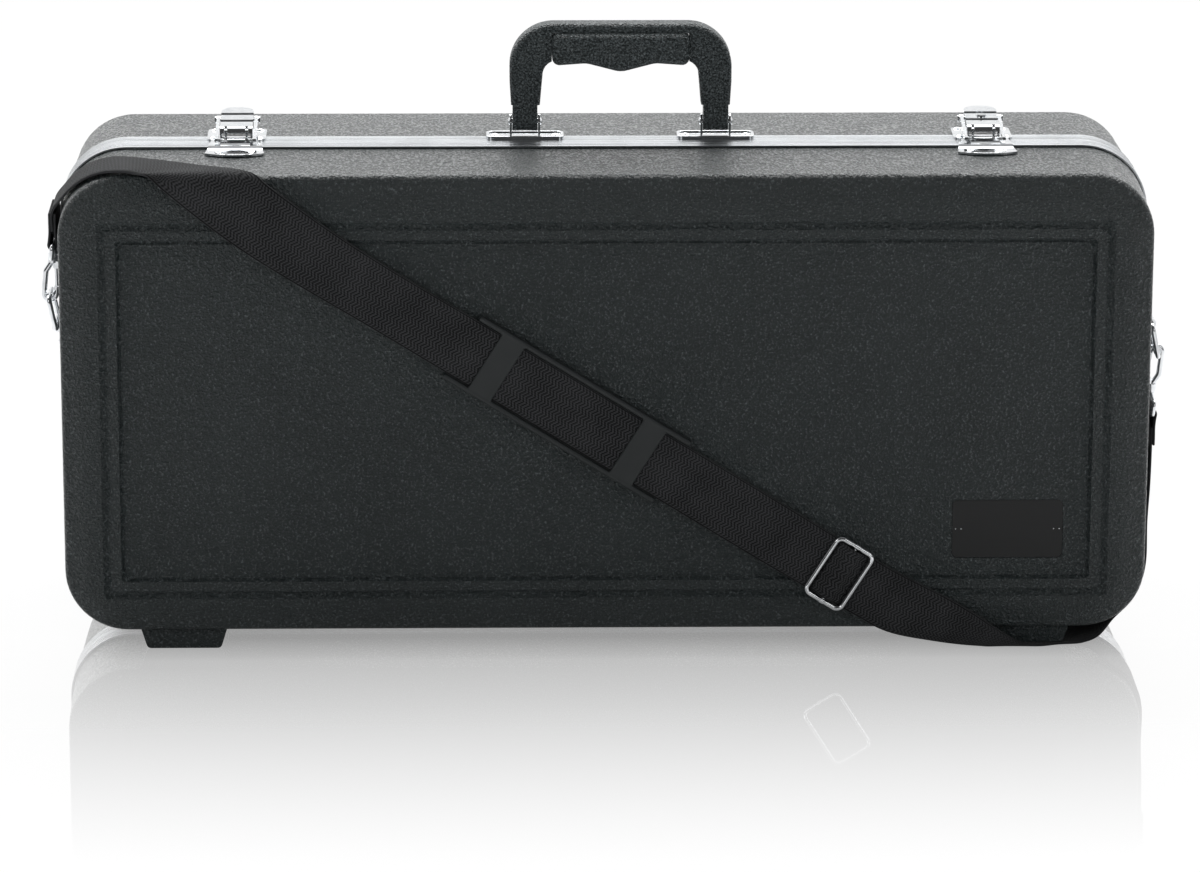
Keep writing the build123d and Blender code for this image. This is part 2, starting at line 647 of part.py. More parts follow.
LOCK_Y = LEVER_PIVOT_Y + LOCK_REACH
LOCK_TOP_Z = LEVER_PIVOT_Z + LEVER_NOSE_RADIUS + LEVER_STEP + LEVER_TIP_RISE * 0.4 + LOCK_PROUD


def lock_barrel(x):
    """Key barrel in the right lever, with its slot."""
    barrel = rod((x, LOCK_Y, LOCK_TOP_Z - LOCK_HEIGHT), (x, LOCK_Y, LOCK_TOP_Z), LOCK_RADIUS)
    reach = LOCK_RADIUS * 0.7
    keyway = corners(x - reach, x + reach, LOCK_Y - LOCK_SLOT / 2, LOCK_Y + LOCK_SLOT / 2)
    return barrel - slab_xy(keyway, LOCK_TOP_Z - 1.5, LOCK_TOP_Z + 1)


def bail_pin(x):
    """Pin in the lever's skirts that carries the bail."""
    half_length = LEVER_WIDTH / 2 + BAIL_GAP + BAIL_ARM + 0.4
    pin = across(x - half_length, x + half_length, BAIL_PIVOT_Y, BAIL_PIVOT_Z, BAIL_PIN_RADIUS)
    for side in (LEFT, RIGHT):
        start = (x + side * half_length, BAIL_PIVOT_Y, BAIL_PIVOT_Z)
        pin += rod(start, (start[0] + side * 0.8, BAIL_PIVOT_Y, BAIL_PIVOT_Z), BAIL_PIN_RADIUS + 0.9)
    return pin


def latch_bail(x):
    """Bail: two arms from the lever, joined by a bowed nose over the catch."""
    inner = LEVER_WIDTH / 2 + BAIL_GAP
    outer = inner + BAIL_ARM
    nose_in = BAIL_NOSE_Y + BAIL_NOSE_BAR
    nose_z = BAIL_UNDER_Z
    arm_points = [
        (BAIL_PIVOT_Y, BAIL_PIVOT_Z - BAIL_EYE_RADIUS + 0.2),
        (BAIL_PIVOT_Y, BAIL_PIVOT_Z + BAIL_EYE_RADIUS - 0.2),
        (nose_in, nose_z + BAIL_GAUGE + 0.6),
        (BAIL_NOSE_Y + 1, nose_z + BAIL_GAUGE),
        (BAIL_NOSE_Y + 1, nose_z),
        (nose_in, nose_z),
    ]
    bail = Part()
    for side in (LEFT, RIGHT):
        low, high = sorted((x + side * inner, x + side * outer))
        bail += slab_yz(arm_points, low, high)
        bail += across(low, high, BAIL_PIVOT_Y, BAIL_PIVOT_Z, BAIL_EYE_RADIUS)
    bow = ThreePointArc((x - outer, BAIL_NOSE_Y + 2), (x, BAIL_NOSE_Y - 1.2), (x + outer, BAIL_NOSE_Y + 2))
    inside = ThreePointArc((x + inner - 1, nose_in + 1), (x, nose_in - 1.5), (x - inner + 1, nose_in + 1))
    edge = [bow, Line(bow @ 1, inside @ 0), inside, Line(inside @ 1, bow @ 0)]
    bail += extrude(Pos(0, 0, nose_z) * make_face(edge), amount=BAIL_GAUGE)
    return bail - across(x - outer - 1, x + outer + 1, BAIL_PIVOT_Y, BAIL_PIVOT_Z, BAIL_PIN_RADIUS + RUNNING_FIT)


def catch_plate(x):
    """Catch plate on the lid: it steps down from the valance to the shell and carries the hook."""
    back = PARTING_Y - CATCH_START
    step = PARTING_Y - VALANCE_WIDTH
    front = PARTING_Y - CATCH_FRONT_V
    profile = [
        (back, VALANCE_TOP_Z), (back, PLATE_TOP_Z), (step - 2.0, PLATE_TOP_Z),
        (step - 3.6, CATCH_Z + LATCH_PLATE_GAUGE), (front - CATCH_BULGE, CATCH_Z + LATCH_PLATE_GAUGE),
        (front - CATCH_BULGE, CATCH_Z), (step - 0.3, CATCH_Z), (step - 0.3, VALANCE_TOP_Z),
    ]
    plate = slab_yz(profile, x - CATCH_WIDE / 2, x + CATCH_WIDE / 2)
    bow = ThreePointArc((x - CATCH_WIDE / 2, front), (x, front - CATCH_BULGE), (x + CATCH_WIDE / 2, front))
    edge = Polyline(bow @ 1, (x + CATCH_NARROW / 2, back), (x - CATCH_NARROW / 2, back), bow @ 0)
    plate &= extrude(Pos(0, 0, CATCH_Z - 1) * make_face([bow, *edge.edges()]), amount=10)
    hook_top = BAIL_UNDER_Z - CATCH_CLEARANCE
    hook = [
        (BAIL_NOSE_Y + BAIL_NOSE_BAR, PLATE_TOP_Z - 0.5), (BAIL_NOSE_Y + BAIL_NOSE_BAR, hook_top),
        (BAIL_NOSE_Y - 1.5, hook_top), (BAIL_NOSE_Y - 3.5, PLATE_TOP_Z - 0.5),
    ]
    plate += slab_yz(hook, x - CATCH_HOOK_WIDTH / 2, x + CATCH_HOOK_WIDTH / 2)
    return drilled(plate, catch_rivets)


def handle_plate(x):
    """Chrome handle plate with a rolled bead round it and two ears for the pin."""
    low_y, high_y = HANDLE_Y - HANDLE_PLATE_WIDTH / 2, HANDLE_Y + HANDLE_PLATE_WIDTH / 2
    low_x, high_x = x - HANDLE_PLATE_LENGTH / 2, x + HANDLE_PLATE_LENGTH / 2
    bead_z = HANDLE_PLATE_TOP_Z + HANDLE_PLATE_BEAD
    plate = slab_xy(corners(low_x, high_x, low_y, high_y), VALANCE_TOP_Z, bead_z, 4.0)
    inside = corners(low_x + 2, high_x - 2, low_y + 2, high_y - 2)
    plate -= slab_xy(inside, HANDLE_PLATE_TOP_Z, bead_z + 1, 2.5)
    plate = fillet(plate.edges().filter_by_position(Axis.Z, bead_z - 0.01, bead_z + 0.01), 0.45)
    for side in (LEFT, RIGHT):
        inner = x + side * (HANDLE_LEG_BOTTOM / 2 + HANDLE_EAR_GAP)
        low, high = sorted((inner, inner + side * HANDLE_EAR_GAUGE))
        plate += slab_yz(corners(HANDLE_Y - HANDLE_EAR_WIDTH / 2, HANDLE_Y + HANDLE_EAR_WIDTH / 2,
                                 HANDLE_PLATE_TOP_Z - 0.5, HANDLE_PIN_Z), low, high)
        plate += across(low, high, HANDLE_Y, HANDLE_PIN_Z, HANDLE_EAR_WIDTH / 2)
    plate -= across(low_x, high_x, HANDLE_Y, HANDLE_PIN_Z, HANDLE_PIN_RADIUS + RUNNING_FIT)
    return drilled(plate, handle_rivets)


def handle_pins():
    """Pins of the handle, with a domed head outside each ear."""
    pins = []
    for x in PLATE_XS.values():
        reach = HANDLE_LEG_BOTTOM / 2 + HANDLE_EAR_GAP + HANDLE_EAR_GAUGE + 0.1
        pin = across(x - reach, x + reach, HANDLE_Y, HANDLE_PIN_Z, HANDLE_PIN_RADIUS)
        for side in (LEFT, RIGHT):
            pin += dome((x + side * reach, HANDLE_Y, HANDLE_PIN_Z), (side, 0, 0), HANDLE_PIN_RADIUS + 0.9, 1.2)
        pins.append(pin)
    return pins


def handle_arch():
    """Handle arch: two legs that narrow to their pins and a bridge that carries the grip."""
    outer, pitch = HANDLE_WIDTH / 2, HANDLE_LEG_PITCH / 2
    foot_z = HANDLE_PIN_Z - HANDLE_EAR_WIDTH / 2 - 1.5
    outside = FilletPolyline(
        (HANDLE_X - pitch - HANDLE_LEG_BOTTOM / 2, foot_z), (HANDLE_X - outer, HANDLE_PIN_Z + 26),
        (HANDLE_X - outer, HANDLE_TOP_Z), (HANDLE_X + outer, HANDLE_TOP_Z),
        (HANDLE_X + outer, HANDLE_PIN_Z + 26), (HANDLE_X + pitch + HANDLE_LEG_BOTTOM / 2, foot_z),
        radius=[60.0, HANDLE_OUTER_RADIUS, HANDLE_OUTER_RADIUS, 60.0],
    )
    leg_in = outer - HANDLE_LEG_TOP
    inside = FilletPolyline(
        (HANDLE_X + pitch - HANDLE_LEG_BOTTOM / 2, foot_z), (HANDLE_X + leg_in, HANDLE_OPENING_TOP),
        (HANDLE_X - leg_in, HANDLE_OPENING_TOP), (HANDLE_X - pitch + HANDLE_LEG_BOTTOM / 2, foot_z),
        radius=HANDLE_INNER_RADIUS,
    )
    edges = [*outside.edges(), Line(outside @ 1, inside @ 0), *inside.edges(), Line(inside @ 1, outside @ 0)]
    plane = Plane(origin=(0, HANDLE_Y + HANDLE_THICKNESS / 2, 0), x_dir=(1, 0, 0), z_dir=(0, -1, 0))
    arch = extrude(plane * make_face(edges), amount=HANDLE_THICKNESS)
    rims = [
        edge for edge in arch.edges()
        if abs(abs(edge.center().Y - HANDLE_Y) - HANDLE_THICKNESS / 2) < 0.01 and edge.center().Z > foot_z + 0.1
    ]
    arch = fillet(rims, HANDLE_EDGE)
    seat = corners(HANDLE_X - GRIP_LENGTH / 2 - GRIP_FIT, HANDLE_X + GRIP_LENGTH / 2 + GRIP_FIT,
                   GRIP_BOTTOM_Z - 20, GRIP_TOP_Z + GRIP_FIT)
    core = corners(HANDLE_X - GRIP_LENGTH, HANDLE_X + GRIP_LENGTH, HANDLE_OPENING_TOP + 5, GRIP_TOP_Z - 4.5)
    half_core = 4.0
    shell_cut = slab_xz(seat, HANDLE_Y - HANDLE_THICKNESS, HANDLE_Y + HANDLE_THICKNESS, 2.0)
    shell_cut -= slab_xz(core, HANDLE_Y - half_core, HANDLE_Y + half_core)
    arch -= shell_cut
    for x in PLATE_XS.values():
        low, high = x - HANDLE_LEG_BOTTOM, x + HANDLE_LEG_BOTTOM
        arch -= across(low, high, HANDLE_Y, HANDLE_PIN_Z, HANDLE_PIN_RADIUS + RUNNING_FIT)
        keep = across(low, high, HANDLE_Y, HANDLE_PIN_Z, HANDLE_EAR_WIDTH / 2 + 1.5)
        below = slab_yz(corners(HANDLE_Y - 20, HANDLE_Y + 20, foot_z - 5, HANDLE_PIN_Z), low, high)
        arch -= below - keep
        sweep_up = hypot(HANDLE_EAR_WIDTH / 2, HANDLE_PIN_Z - VALANCE_TOP_Z) + HANDLE_EAR_GAP
        beside = slab_xz(corners(low, high, foot_z - 5, HANDLE_PIN_Z + sweep_up), HANDLE_Y - 20, HANDLE_Y + 20)
        flat = slab_xz(corners(x - HANDLE_LEG_BOTTOM / 2, x + HANDLE_LEG_BOTTOM / 2, foot_z - 6, HANDLE_TOP_Z),
                       HANDLE_Y - 21, HANDLE_Y + 21)
        arch -= beside - flat
    return arch


def handle_grip():
    """Moulded grip with finger waves along its underside."""
    half = GRIP_LENGTH / 2
    outline_points = [
        (HANDLE_X - half, GRIP_TOP_Z), (HANDLE_X - half, GRIP_BOTTOM_Z),
        (HANDLE_X - half / 2, GRIP_BOTTOM_Z + GRIP_RISE),
        (HANDLE_X, GRIP_BOTTOM_Z - GRIP_WAVE), (HANDLE_X + half / 2, GRIP_BOTTOM_Z + GRIP_RISE),
        (HANDLE_X + half, GRIP_BOTTOM_Z), (HANDLE_X + half, GRIP_TOP_Z),
    ]
    radii = [GRIP_CORNER, GRIP_CORNER, GRIP_BEND, GRIP_BEND, GRIP_BEND, GRIP_CORNER, GRIP_CORNER]
    plane = Plane(origin=(0, HANDLE_Y + GRIP_THICKNESS / 2, 0), x_dir=(1, 0, 0), z_dir=(0, -1, 0))
    face = make_face(FilletPolyline(*outline_points, radius=radii, close=True))
    grip = extrude(plane * face, amount=GRIP_THICKNESS)
    outer = [
        edge for edge in grip.edges()
        if abs(abs(edge.center().Y - HANDLE_Y) - GRIP_THICKNESS / 2) < 0.01
    ]
    grip = fillet(outer, GRIP_EDGE)
    core = corners(HANDLE_X - GRIP_LENGTH, HANDLE_X + GRIP_LENGTH,
                   HANDLE_OPENING_TOP + 5 - GRIP_FIT, GRIP_TOP_Z - 4.5 + GRIP_FIT)
    return grip - slab_xz(core, HANDLE_Y - 4.0 - GRIP_FIT, HANDLE_Y + 4.0 + GRIP_FIT)


def ring_turn(side, way, part):
    """Tilt a part about the ring's pivot so that the ring leans away from the wall."""
    pivot = (side * (RING_PLATE_X + RING_OFFSET), RING_Y, RING_Z)
    angle = side * way * RING_TILT
    return part.rotate(Axis(pivot, (0, 1, 0)), angle)


def ring_plate(side):
    """Plate on the end wall with a lug that the ring turns in."""
    x0, x1 = side * (WALL_X + 0.3), side * RING_PLATE_X
    low, high = sorted((x0, x1))
    plate = slab_yz(corners(RING_Y - RING_PLATE_WIDTH / 2, RING_Y + RING_PLATE_WIDTH / 2,
                            RING_Z - RING_PLATE_HEIGHT / 2, RING_Z + RING_PLATE_HEIGHT / 2), low, high, 3.0)
    centre_x = side * (RING_PLATE_X + RING_OFFSET)
    lug_low, lug_high = RING_Y - RING_LUG_WIDTH / 2, RING_Y + RING_LUG_WIDTH / 2
    lug = rod((centre_x, lug_low, RING_Z), (centre_x, lug_high, RING_Z), RING_WIRE + 1.5)
    block = sorted((x1, centre_x))
    lug += slab_xz(corners(*block, RING_Z - RING_WIRE - 1.5, RING_Z + RING_WIRE + 1.5), lug_low, lug_high)
    lug -= rod((centre_x, lug_low - 1, RING_Z), (centre_x, lug_high + 1, RING_Z), RING_WIRE + RUNNING_FIT)
    return drilled(plate + lug, ring_rivets)


def ring_bar(side, way):
    """Place of the ring's far bar, which the snap hook holds."""
    lean = radians(RING_TILT)
    x = RING_PLATE_X + RING_OFFSET + RING_HEIGHT * sin(lean)
    return side * x, RING_Z + way * RING_HEIGHT * cos(lean)


def d_ring(side, way):
    """Ring of round wire; way is 1 where it points up and -1 where it points down."""
    x = side * (RING_PLATE_X + RING_OFFSET)
    half = RING_WIDTH / 2
    far_z = RING_Z + way * RING_HEIGHT
    points = [(x, RING_Y + half, RING_Z), (x, RING_Y + half, far_z), (x, RING_Y - half, far_z),
              (x, RING_Y - half, RING_Z)]
    return ring_turn(side, way, wire_bar(points, RING_WIRE, 3.0, closed=True))


def hook_point(side, way, u, w):
    """Point of the hook's own plane: u leaves the wall, w runs from the ring towards the strap."""
    x, z = ring_bar(side, way)
    return (x + side * u, RING_Y, z + way * w)


def hook_turn(side, way, part):
    """Lean a part about the ring's far bar, so that it comes back to the wall."""
    x, z = ring_bar(side, way)
    return part.rotate(Axis((x, RING_Y, z), (0, 1, 0)), -side * way * HOOK_LEAN)


def leaned_point(side, way, w):
    """Place on the hook's line, at a distance from the ring's far bar."""
    x, z = ring_bar(side, way)
    lean = radians(HOOK_LEAN)
    return x - side * w * sin(lean), z + way * w * cos(lean)


HOOK_PIVOT_U = -2.2
HOOK_PIVOT_W = HOOK_LENGTH - 2.0
HOOK_TIP_W = 5.0
COLLAR_END_W = HOOK_LENGTH + HOOK_COLLAR_HEIGHT
EYE_HUB_START = COLLAR_END_W + 0.3
EYE_HUB_HEIGHT = 3.0
EYE_HUB_RADIUS = 3.0
SHANK_RADIUS = 1.6
EYE_NEAR_W = EYE_HUB_START + EYE_HUB_HEIGHT / 2
EYE_FAR_W = EYE_NEAR_W + EYE_HEIGHT
EYE_HALF = STRAP_WIDTH / 2 + EYE_WIRE + 1.0
GATE_EYE_RADIUS = 1.5
GATE_EYE_HALF = 1.4
GATE_PIN_RADIUS = 0.7
LUG_GAUGE = 1.0


def along_y(point, low, high, radius):
    """Round bar along Y through a point."""
    return rod((point[0], point[1] + low, point[2]), (point[0], point[1] + high, point[2]), radius)


def snap_hook(side, way):
    """Hook of round wire with its collar, gate lugs and swivel shank."""
    bow = HOOK_BOW_RADIUS
    path = [(0, HOOK_LENGTH + 1), (bow, HOOK_LENGTH - 6), (bow, -bow), (-bow, -bow), (-bow, HOOK_TIP_W)]
    points = [hook_point(side, way, u, w) for u, w in path]
    line = FilletPolyline(*points, radius=[3.0, bow - 0.1, bow - 0.1])
    hook = sweep(Plane(origin=line @ 0, z_dir=line % 0) * Circle(HOOK_WIRE), path=line)
    hook += rod(hook_point(side, way, 0, HOOK_LENGTH), hook_point(side, way, 0, COLLAR_END_W), HOOK_COLLAR_RADIUS)
    head = EYE_HUB_START + EYE_HUB_HEIGHT + 0.3
    hook += rod(hook_point(side, way, 0, COLLAR_END_W - 1), hook_point(side, way, 0, head + 0.5), SHANK_RADIUS)
    hook += rod(hook_point(side, way, 0, head), hook_point(side, way, 0, head + 1.2), SHANK_RADIUS + 1.0)
    pivot = hook_point(side, way, HOOK_PIVOT_U, HOOK_PIVOT_W)
    low_u, high_u = HOOK_PIVOT_U - 1.3, HOOK_PIVOT_U + 1.6
    ends = hook_point(side, way, low_u, HOOK_PIVOT_W - 1.3), hook_point(side, way, high_u, HOOK_LENGTH + 1.0)
    span_x, span_z = sorted((ends[0][0], ends[1][0])), sorted((ends[0][2], ends[1][2]))
    for edge in (-GATE_EYE_HALF - LUG_GAUGE - 0.2, GATE_EYE_HALF + 0.2):
        hook += slab_xz(corners(*span_x, *span_z), RING_Y + edge, RING_Y + edge + LUG_GAUGE)
    reach = GATE_EYE_HALF + LUG_GAUGE
    return hook_turn(side, way, hook + along_y(pivot, -reach, reach, GATE_PIN_RADIUS))


def hook_gate(side, way):
    """Gate that closes the hook, pressed inwards with a thumb."""
    pivot = hook_point(side, way, HOOK_PIVOT_U, HOOK_PIVOT_W)
    tip = hook_point(side, way, -HOOK_BOW_RADIUS, HOOK_TIP_W + 0.3)
    gate = along_y(pivot, -GATE_EYE_HALF, GATE_EYE_HALF, GATE_EYE_RADIUS) + rod(pivot, tip, HOOK_GATE_WIRE)
    return hook_turn(side, way, gate - along_y(pivot, -5, 5, GATE_PIN_RADIUS + RUNNING_FIT))


def strap_eye(side, way):
    """Wire eye that the webbing is sewn round, with the hub that the hook swivels in."""
    x, _ = ring_bar(side, way)
    near, far = (hook_point(side, way, 0, w)[2] for w in (EYE_NEAR_W, EYE_FAR_W))
    points = [(x, RING_Y - EYE_HALF, near), (x, RING_Y + EYE_HALF, near), (x, RING_Y + EYE_HALF, far),
              (x, RING_Y - EYE_HALF, far)]
    hub_start = hook_point(side, way, 0, EYE_HUB_START)
    hub_end = hook_point(side, way, 0, EYE_HUB_START + EYE_HUB_HEIGHT)
    eye = wire_bar(points, EYE_WIRE, 2.5, closed=True) + rod(hub_start, hub_end, EYE_HUB_RADIUS)
    eye -= rod(hook_point(side, way, 0, EYE_HUB_START - 1), hook_point(side, way, 0, EYE_HUB_START + 5),
               SHANK_RADIUS + RUNNING_FIT)
    return hook_turn(side, way, eye)


LOOP_NECK = 8.0
LOOP_LEG = 20.0
LOOP_INNER = EYE_WIRE + STRAP_CLEARANCE


def strap_end(side, way):
    """End of the webbing, folded round the eye's bar and sewn back on itself."""
    near, far = STRAP_GAUGE / 2 + 0.15, STRAP_GAUGE * 1.5 + 0.15
    outer = LOOP_INNER + STRAP_GAUGE

    def at(u, w):
        x, z = leaned_point(side, way, EYE_FAR_W)
        return (x + side * u, z + way * w)

    over = ThreePointArc(at(-outer, 0), at(0, -outer), at(outer, 0))
    under = ThreePointArc(at(LOOP_INNER, 0), at(0, -LOOP_INNER), at(-LOOP_INNER, 0))
    right = Polyline(at(outer, 0), at(far, LOOP_NECK), at(far, LOOP_LEG), at(near, LOOP_LEG), at(near, LOOP_NECK),
                     at(LOOP_INNER, 0))
    left = Polyline(at(-LOOP_INNER, 0), at(-near, LOOP_NECK), at(-near, LOOP_LEG), at(-far, LOOP_LEG),
                    at(-far, LOOP_NECK), at(-outer, 0))
    plane = Plane(origin=(0, RING_Y + STRAP_WIDTH / 2, 0), x_dir=(1, 0, 0), z_dir=(0, -1, 0))
    return extrude(plane * make_face([over, *right.edges(), under, *left.edges()]), amount=STRAP_WIDTH)


# Strap route, as rungs across the webbing's middle surface, each from one edge to the other
FRONT_Y = PARTING_Y - LID_DEPTH
STRAP_Y = FRONT_Y - STRAP_LIFT - STRAP_GAUGE / 2
HALF_STRAP = STRAP_WIDTH / 2
CORNER_X = CASE_LENGTH / 2 - CORNER_RADIUS
CORNER_TOP_Z = CASE_TOP_Z - CORNER_RADIUS
CORNER_LOW_Z = UNDERSIDE_Z + CORNER_RADIUS
FLOOR_STRAP_Z = STRAP_GAUGE / 2 + 0.02


def face_rung(z):
    """Rung on the front face, level, where the strap crosses a height."""
    x = STRAP_MID_X + (STRAP_MID_Z - z) / tan(radians(STRAP_ANGLE))
    half = HALF_STRAP / sin(radians(STRAP_ANGLE))
    return (x - half, STRAP_Y, z), (x + half, STRAP_Y, z)


def side_rung(x, z, y, way):
    """Rung along Y at a place in X and Z; way is 1 where the first edge is the front one."""
    return (x, y - way * HALF_STRAP, z), (x, y + way * HALF_STRAP, z)


def corner_rung(side, angle, radius, y):
    """Rung round a case corner, at an angle from the top (left corner) or the underside (right corner)."""
    turn = radians(angle)
    if side == LEFT:
        return side_rung(-CORNER_X - radius * sin(turn), CORNER_TOP_Z + radius * cos(turn), y, 1)
    return side_rung(CORNER_X + radius * sin(turn), CORNER_LOW_Z - radius * cos(turn), y, -1)


def top_rung(near, far):
    """Rung by the top left corner: each edge is in from the end, back from the face and down from the top."""
    left = -CASE_LENGTH / 2
    return tuple((left + inward, FRONT_Y + back, CASE_TOP_Z - down) for inward, back, down in (near, far))


def low_rung(near, far):
    """Rung by the lower right corner: each edge is in from the end, back from the face and up from the floor."""
    return tuple((CASE_LENGTH / 2 - inward, FRONT_Y + back, up) for inward, back, up in (near, far))


BACK_TO_STRAP = STRAP_Y - FRONT_Y
EYE_LEFT_X, EYE_LEFT_Z = leaned_point(LEFT, 1, EYE_FAR_W)
EYE_RIGHT_X, EYE_RIGHT_Z = leaned_point(RIGHT, -1, EYE_FAR_W)
FOLD_START = LOOP_NECK + 0.5
FOLD_END = FOLD_START + LOOP_LEG - LOOP_NECK
CORNER_TURN = CORNER_RADIUS + STRAP_GAUGE / 2 + STRAP_CLEARANCE
RUNGS = [
    side_rung(EYE_LEFT_X, EYE_LEFT_Z + FOLD_START, RING_Y, 1),
    side_rung(EYE_LEFT_X, EYE_LEFT_Z + FOLD_END, RING_Y - 1, 1),
    corner_rung(LEFT, 60, CORNER_TURN + 0.5, RING_Y - 9),
    corner_rung(LEFT, 45, CORNER_TURN, RING_Y - 15),
    corner_rung(LEFT, 30, CORNER_TURN, RING_Y - 20),
    corner_rung(LEFT, 15, CORNER_TURN, RING_Y - 24),
    corner_rung(LEFT, 0, CORNER_TURN, RING_Y - 27),
    top_rung((49.0, 2.5, 0.1), (87.0, 22.0, -0.3)),
    top_rung((57.0, 0.0, 1.9), (120.0, 2.6, 0.3)),
    top_rung((64.0, BACK_TO_STRAP, 7.9), (129.0, BACK_TO_STRAP, 6.4)),
    face_rung(CASE_TOP_Z - FACE_TOP_DROP),
    face_rung(UNDERSIDE_Z + FACE_FOOT_RISE),
    low_rung((182.0, BACK_TO_STRAP, 24.0), (120.0, BACK_TO_STRAP, 32.0)),
    low_rung((160.0, -0.4, 11.6), (104.0, -1.6, 22.0)),
    low_rung((132.0, 1.5, 5.0), (91.0, -0.8, 12.5)),
    low_rung((110.0, 3.4, 1.6), (81.0, 0.0, 6.0)),
    low_rung((96.0, 4.0, FLOOR_STRAP_Z), (73.0, 1.5, 2.0)),
    low_rung((89.0, 9.0, FLOOR_STRAP_Z), (64.0, 3.8, FLOOR_STRAP_Z)),
    low_rung((76.0, 30.0, FLOOR_STRAP_Z), (53.0, 7.0, FLOOR_STRAP_Z)),
    low_rung((50.5, 38.0, FLOOR_STRAP_Z), (38.0, 9.0, 1.2)),
    low_rung((36.0, 42.0, 3.2), (29.0, 8.0, 5.5)),
    corner_rung(RIGHT, 30, CORNER_TURN + 0.3, RING_Y - 18),
    corner_rung(RIGHT, 48, CORNER_TURN, RING_Y - 13),
    corner_rung(RIGHT, 66, CORNER_TURN, RING_Y - 9),
    corner_rung(RIGHT, 84, CORNER_TURN, RING_Y - 6),
    side_rung(EYE_RIGHT_X - 1.8, CORNER_LOW_Z + 22, RING_Y - 3, -1),
    side_rung(EYE_RIGHT_X - 0.5, CORNER_LOW_Z + 45, RING_Y - 1, -1),
    side_rung(EYE_RIGHT_X, EYE_RIGHT_Z - FOLD_END, RING_Y, -1),
    side_rung(EYE_RIGHT_X, EYE_RIGHT_Z - FOLD_START, RING_Y, -1),
]
FACE_RUNG_COUNT = 13


def ribbon(first, last):
    """Webbing between two of its rungs, STRAP_GAUGE thick about them."""
    sections = []
    for index in range(first, last + 1):
        near, far = (Vector(*edge) for edge in RUNGS[index])
        before, after = rung_middle(max(index - 1, 0)), rung_middle(min(index + 1, len(RUNGS) - 1))
        normal = (after - before).cross(far - near).normalized() * (STRAP_GAUGE / 2)
        sections.append(make_face(Polyline(near + normal, far + normal, far - normal, near - normal, close=True)))
    return loft(sections, ruled=True)


def rung_middle(index):
    """Middle of one rung."""
    near, far = RUNGS[index]
    return (Vector(*near) + Vector(*far)) / 2


def strap_plane(along, height):
    """Plane on the front strap: X runs down along it, Y across it, Z out of the case from the webbing's face."""
    slope = radians(STRAP_ANGLE)
    origin = (STRAP_MID_X + along * cos(slope), FRONT_Y - STRAP_LIFT - height, STRAP_MID_Z - along * sin(slope))
    return Plane(origin=origin, x_dir=(cos(slope), 0, -sin(slope)), z_dir=(0, -1, 0))


PAD_RAIL_IN = HALF_STRAP + PAD_FIT
PAD_RAIL_OUT = PAD_RAIL_IN + PAD_RAIL
PAD_TOP = STRAP_GAUGE + PAD_FIT + PAD_COVER


def shoulder_pad():
    """Moulded pad: a thin back under the webbing, two edge rails and two cross bars over it."""
    back = strap_plane(0, -PAD_FIT - PAD_BASE) * RectangleRounded(PAD_LENGTH, 2 * PAD_RAIL_OUT, 3.0)
    pad = extrude(back, amount=PAD_BASE)
    for side in (-1, 1):
        rail = strap_plane(0, -PAD_FIT - PAD_BASE) * Pos(0, side * (PAD_RAIL_IN + PAD_RAIL_OUT) / 2)
        pad += extrude(rail * RectangleRounded(PAD_LENGTH, PAD_RAIL, 1.2), amount=PAD_BASE + PAD_FIT + PAD_TOP)
        bar_at = side * (PAD_LENGTH / 2 - PAD_BAR_INSET - PAD_BAR / 2)
        bar = strap_plane(bar_at, STRAP_GAUGE + PAD_FIT) * Rectangle(PAD_BAR, 2 * PAD_RAIL_IN + 1.0)
        pad += extrude(bar, amount=PAD_COVER)
    return pad


def strap_slider():
    """Slider: a rounded wire frame across the webbing, with a bar between its collars."""
    lift = STRAP_GAUGE + STRAP_CLEARANCE + SLIDER_COLLAR
    plane = strap_plane(SLIDER_ALONG, lift)
    half_along = SLIDER_BREADTH / 2 - SLIDER_WIRE
    half_across = SLIDER_LENGTH / 2 - SLIDER_WIRE
    points = [plane.from_local_coords(Vector(u, v, 0)) for u, v in
              corners(-half_along, half_along, -half_across, half_across)]
    slider = wire_bar(points, SLIDER_WIRE, 4.0, closed=True)
    ends = [plane.from_local_coords(Vector(0, side * half_across, 0)) for side in (-1, 1)]
    slider += rod(ends[0], ends[1], SLIDER_BAR)
    for side in (-1, 1):
        middle = plane.from_local_coords(Vector(-1.5, side * half_across, 0))
        end = plane.from_local_coords(Vector(1.5, side * half_across, 0))
        slider += rod(middle, end, SLIDER_COLLAR)
    return slider


def strap_slider_loop():
    """Sewn end of the webbing, where it passes over the slider's bar."""
    crown = STRAP_CLEARANCE + SLIDER_COLLAR + SLIDER_BAR + STRAP_CLEARANCE
    half = SLIDER_LOOP_SPAN / 2
    rise = half - 2.6
    inner = [(-half, STRAP_CLEARANCE), (-half + 3, STRAP_CLEARANCE), (-2.6, crown), (2.6, crown),
             (half - 3, STRAP_CLEARANCE), (half, STRAP_CLEARANCE)]
    outside = STRAP_CLEARANCE + STRAP_GAUGE
    outer = [(half, outside), (rise, outside), (2.6, crown + STRAP_GAUGE), (-2.6, crown + STRAP_GAUGE),
             (-rise, outside), (-half, outside)]
    face = strap_plane(SLIDER_ALONG, STRAP_GAUGE)
    section = Plane(origin=face.from_local_coords(Vector(0, -HALF_STRAP + LOOP_MARGIN, 0)), x_dir=face.x_dir,
                    z_dir=face.y_dir)
    points = [(u, -h) for u, h in inner + outer]
    return extrude(section * make_face(Polyline(*points, close=True)), amount=STRAP_WIDTH - 2 * LOOP_MARGIN)


LINER_INSET = INNER_LEG_SPREAD + VALANCE_GAUGE + LINER_GAP
BOX_HINGE_Z = BOX_Z + BOX_HEIGHT + 5.0
BOX_HINGE_V = LINER_RECESS + BOX_LID_GAUGE / 2
BOX_LID_OVERLAP = 3.0


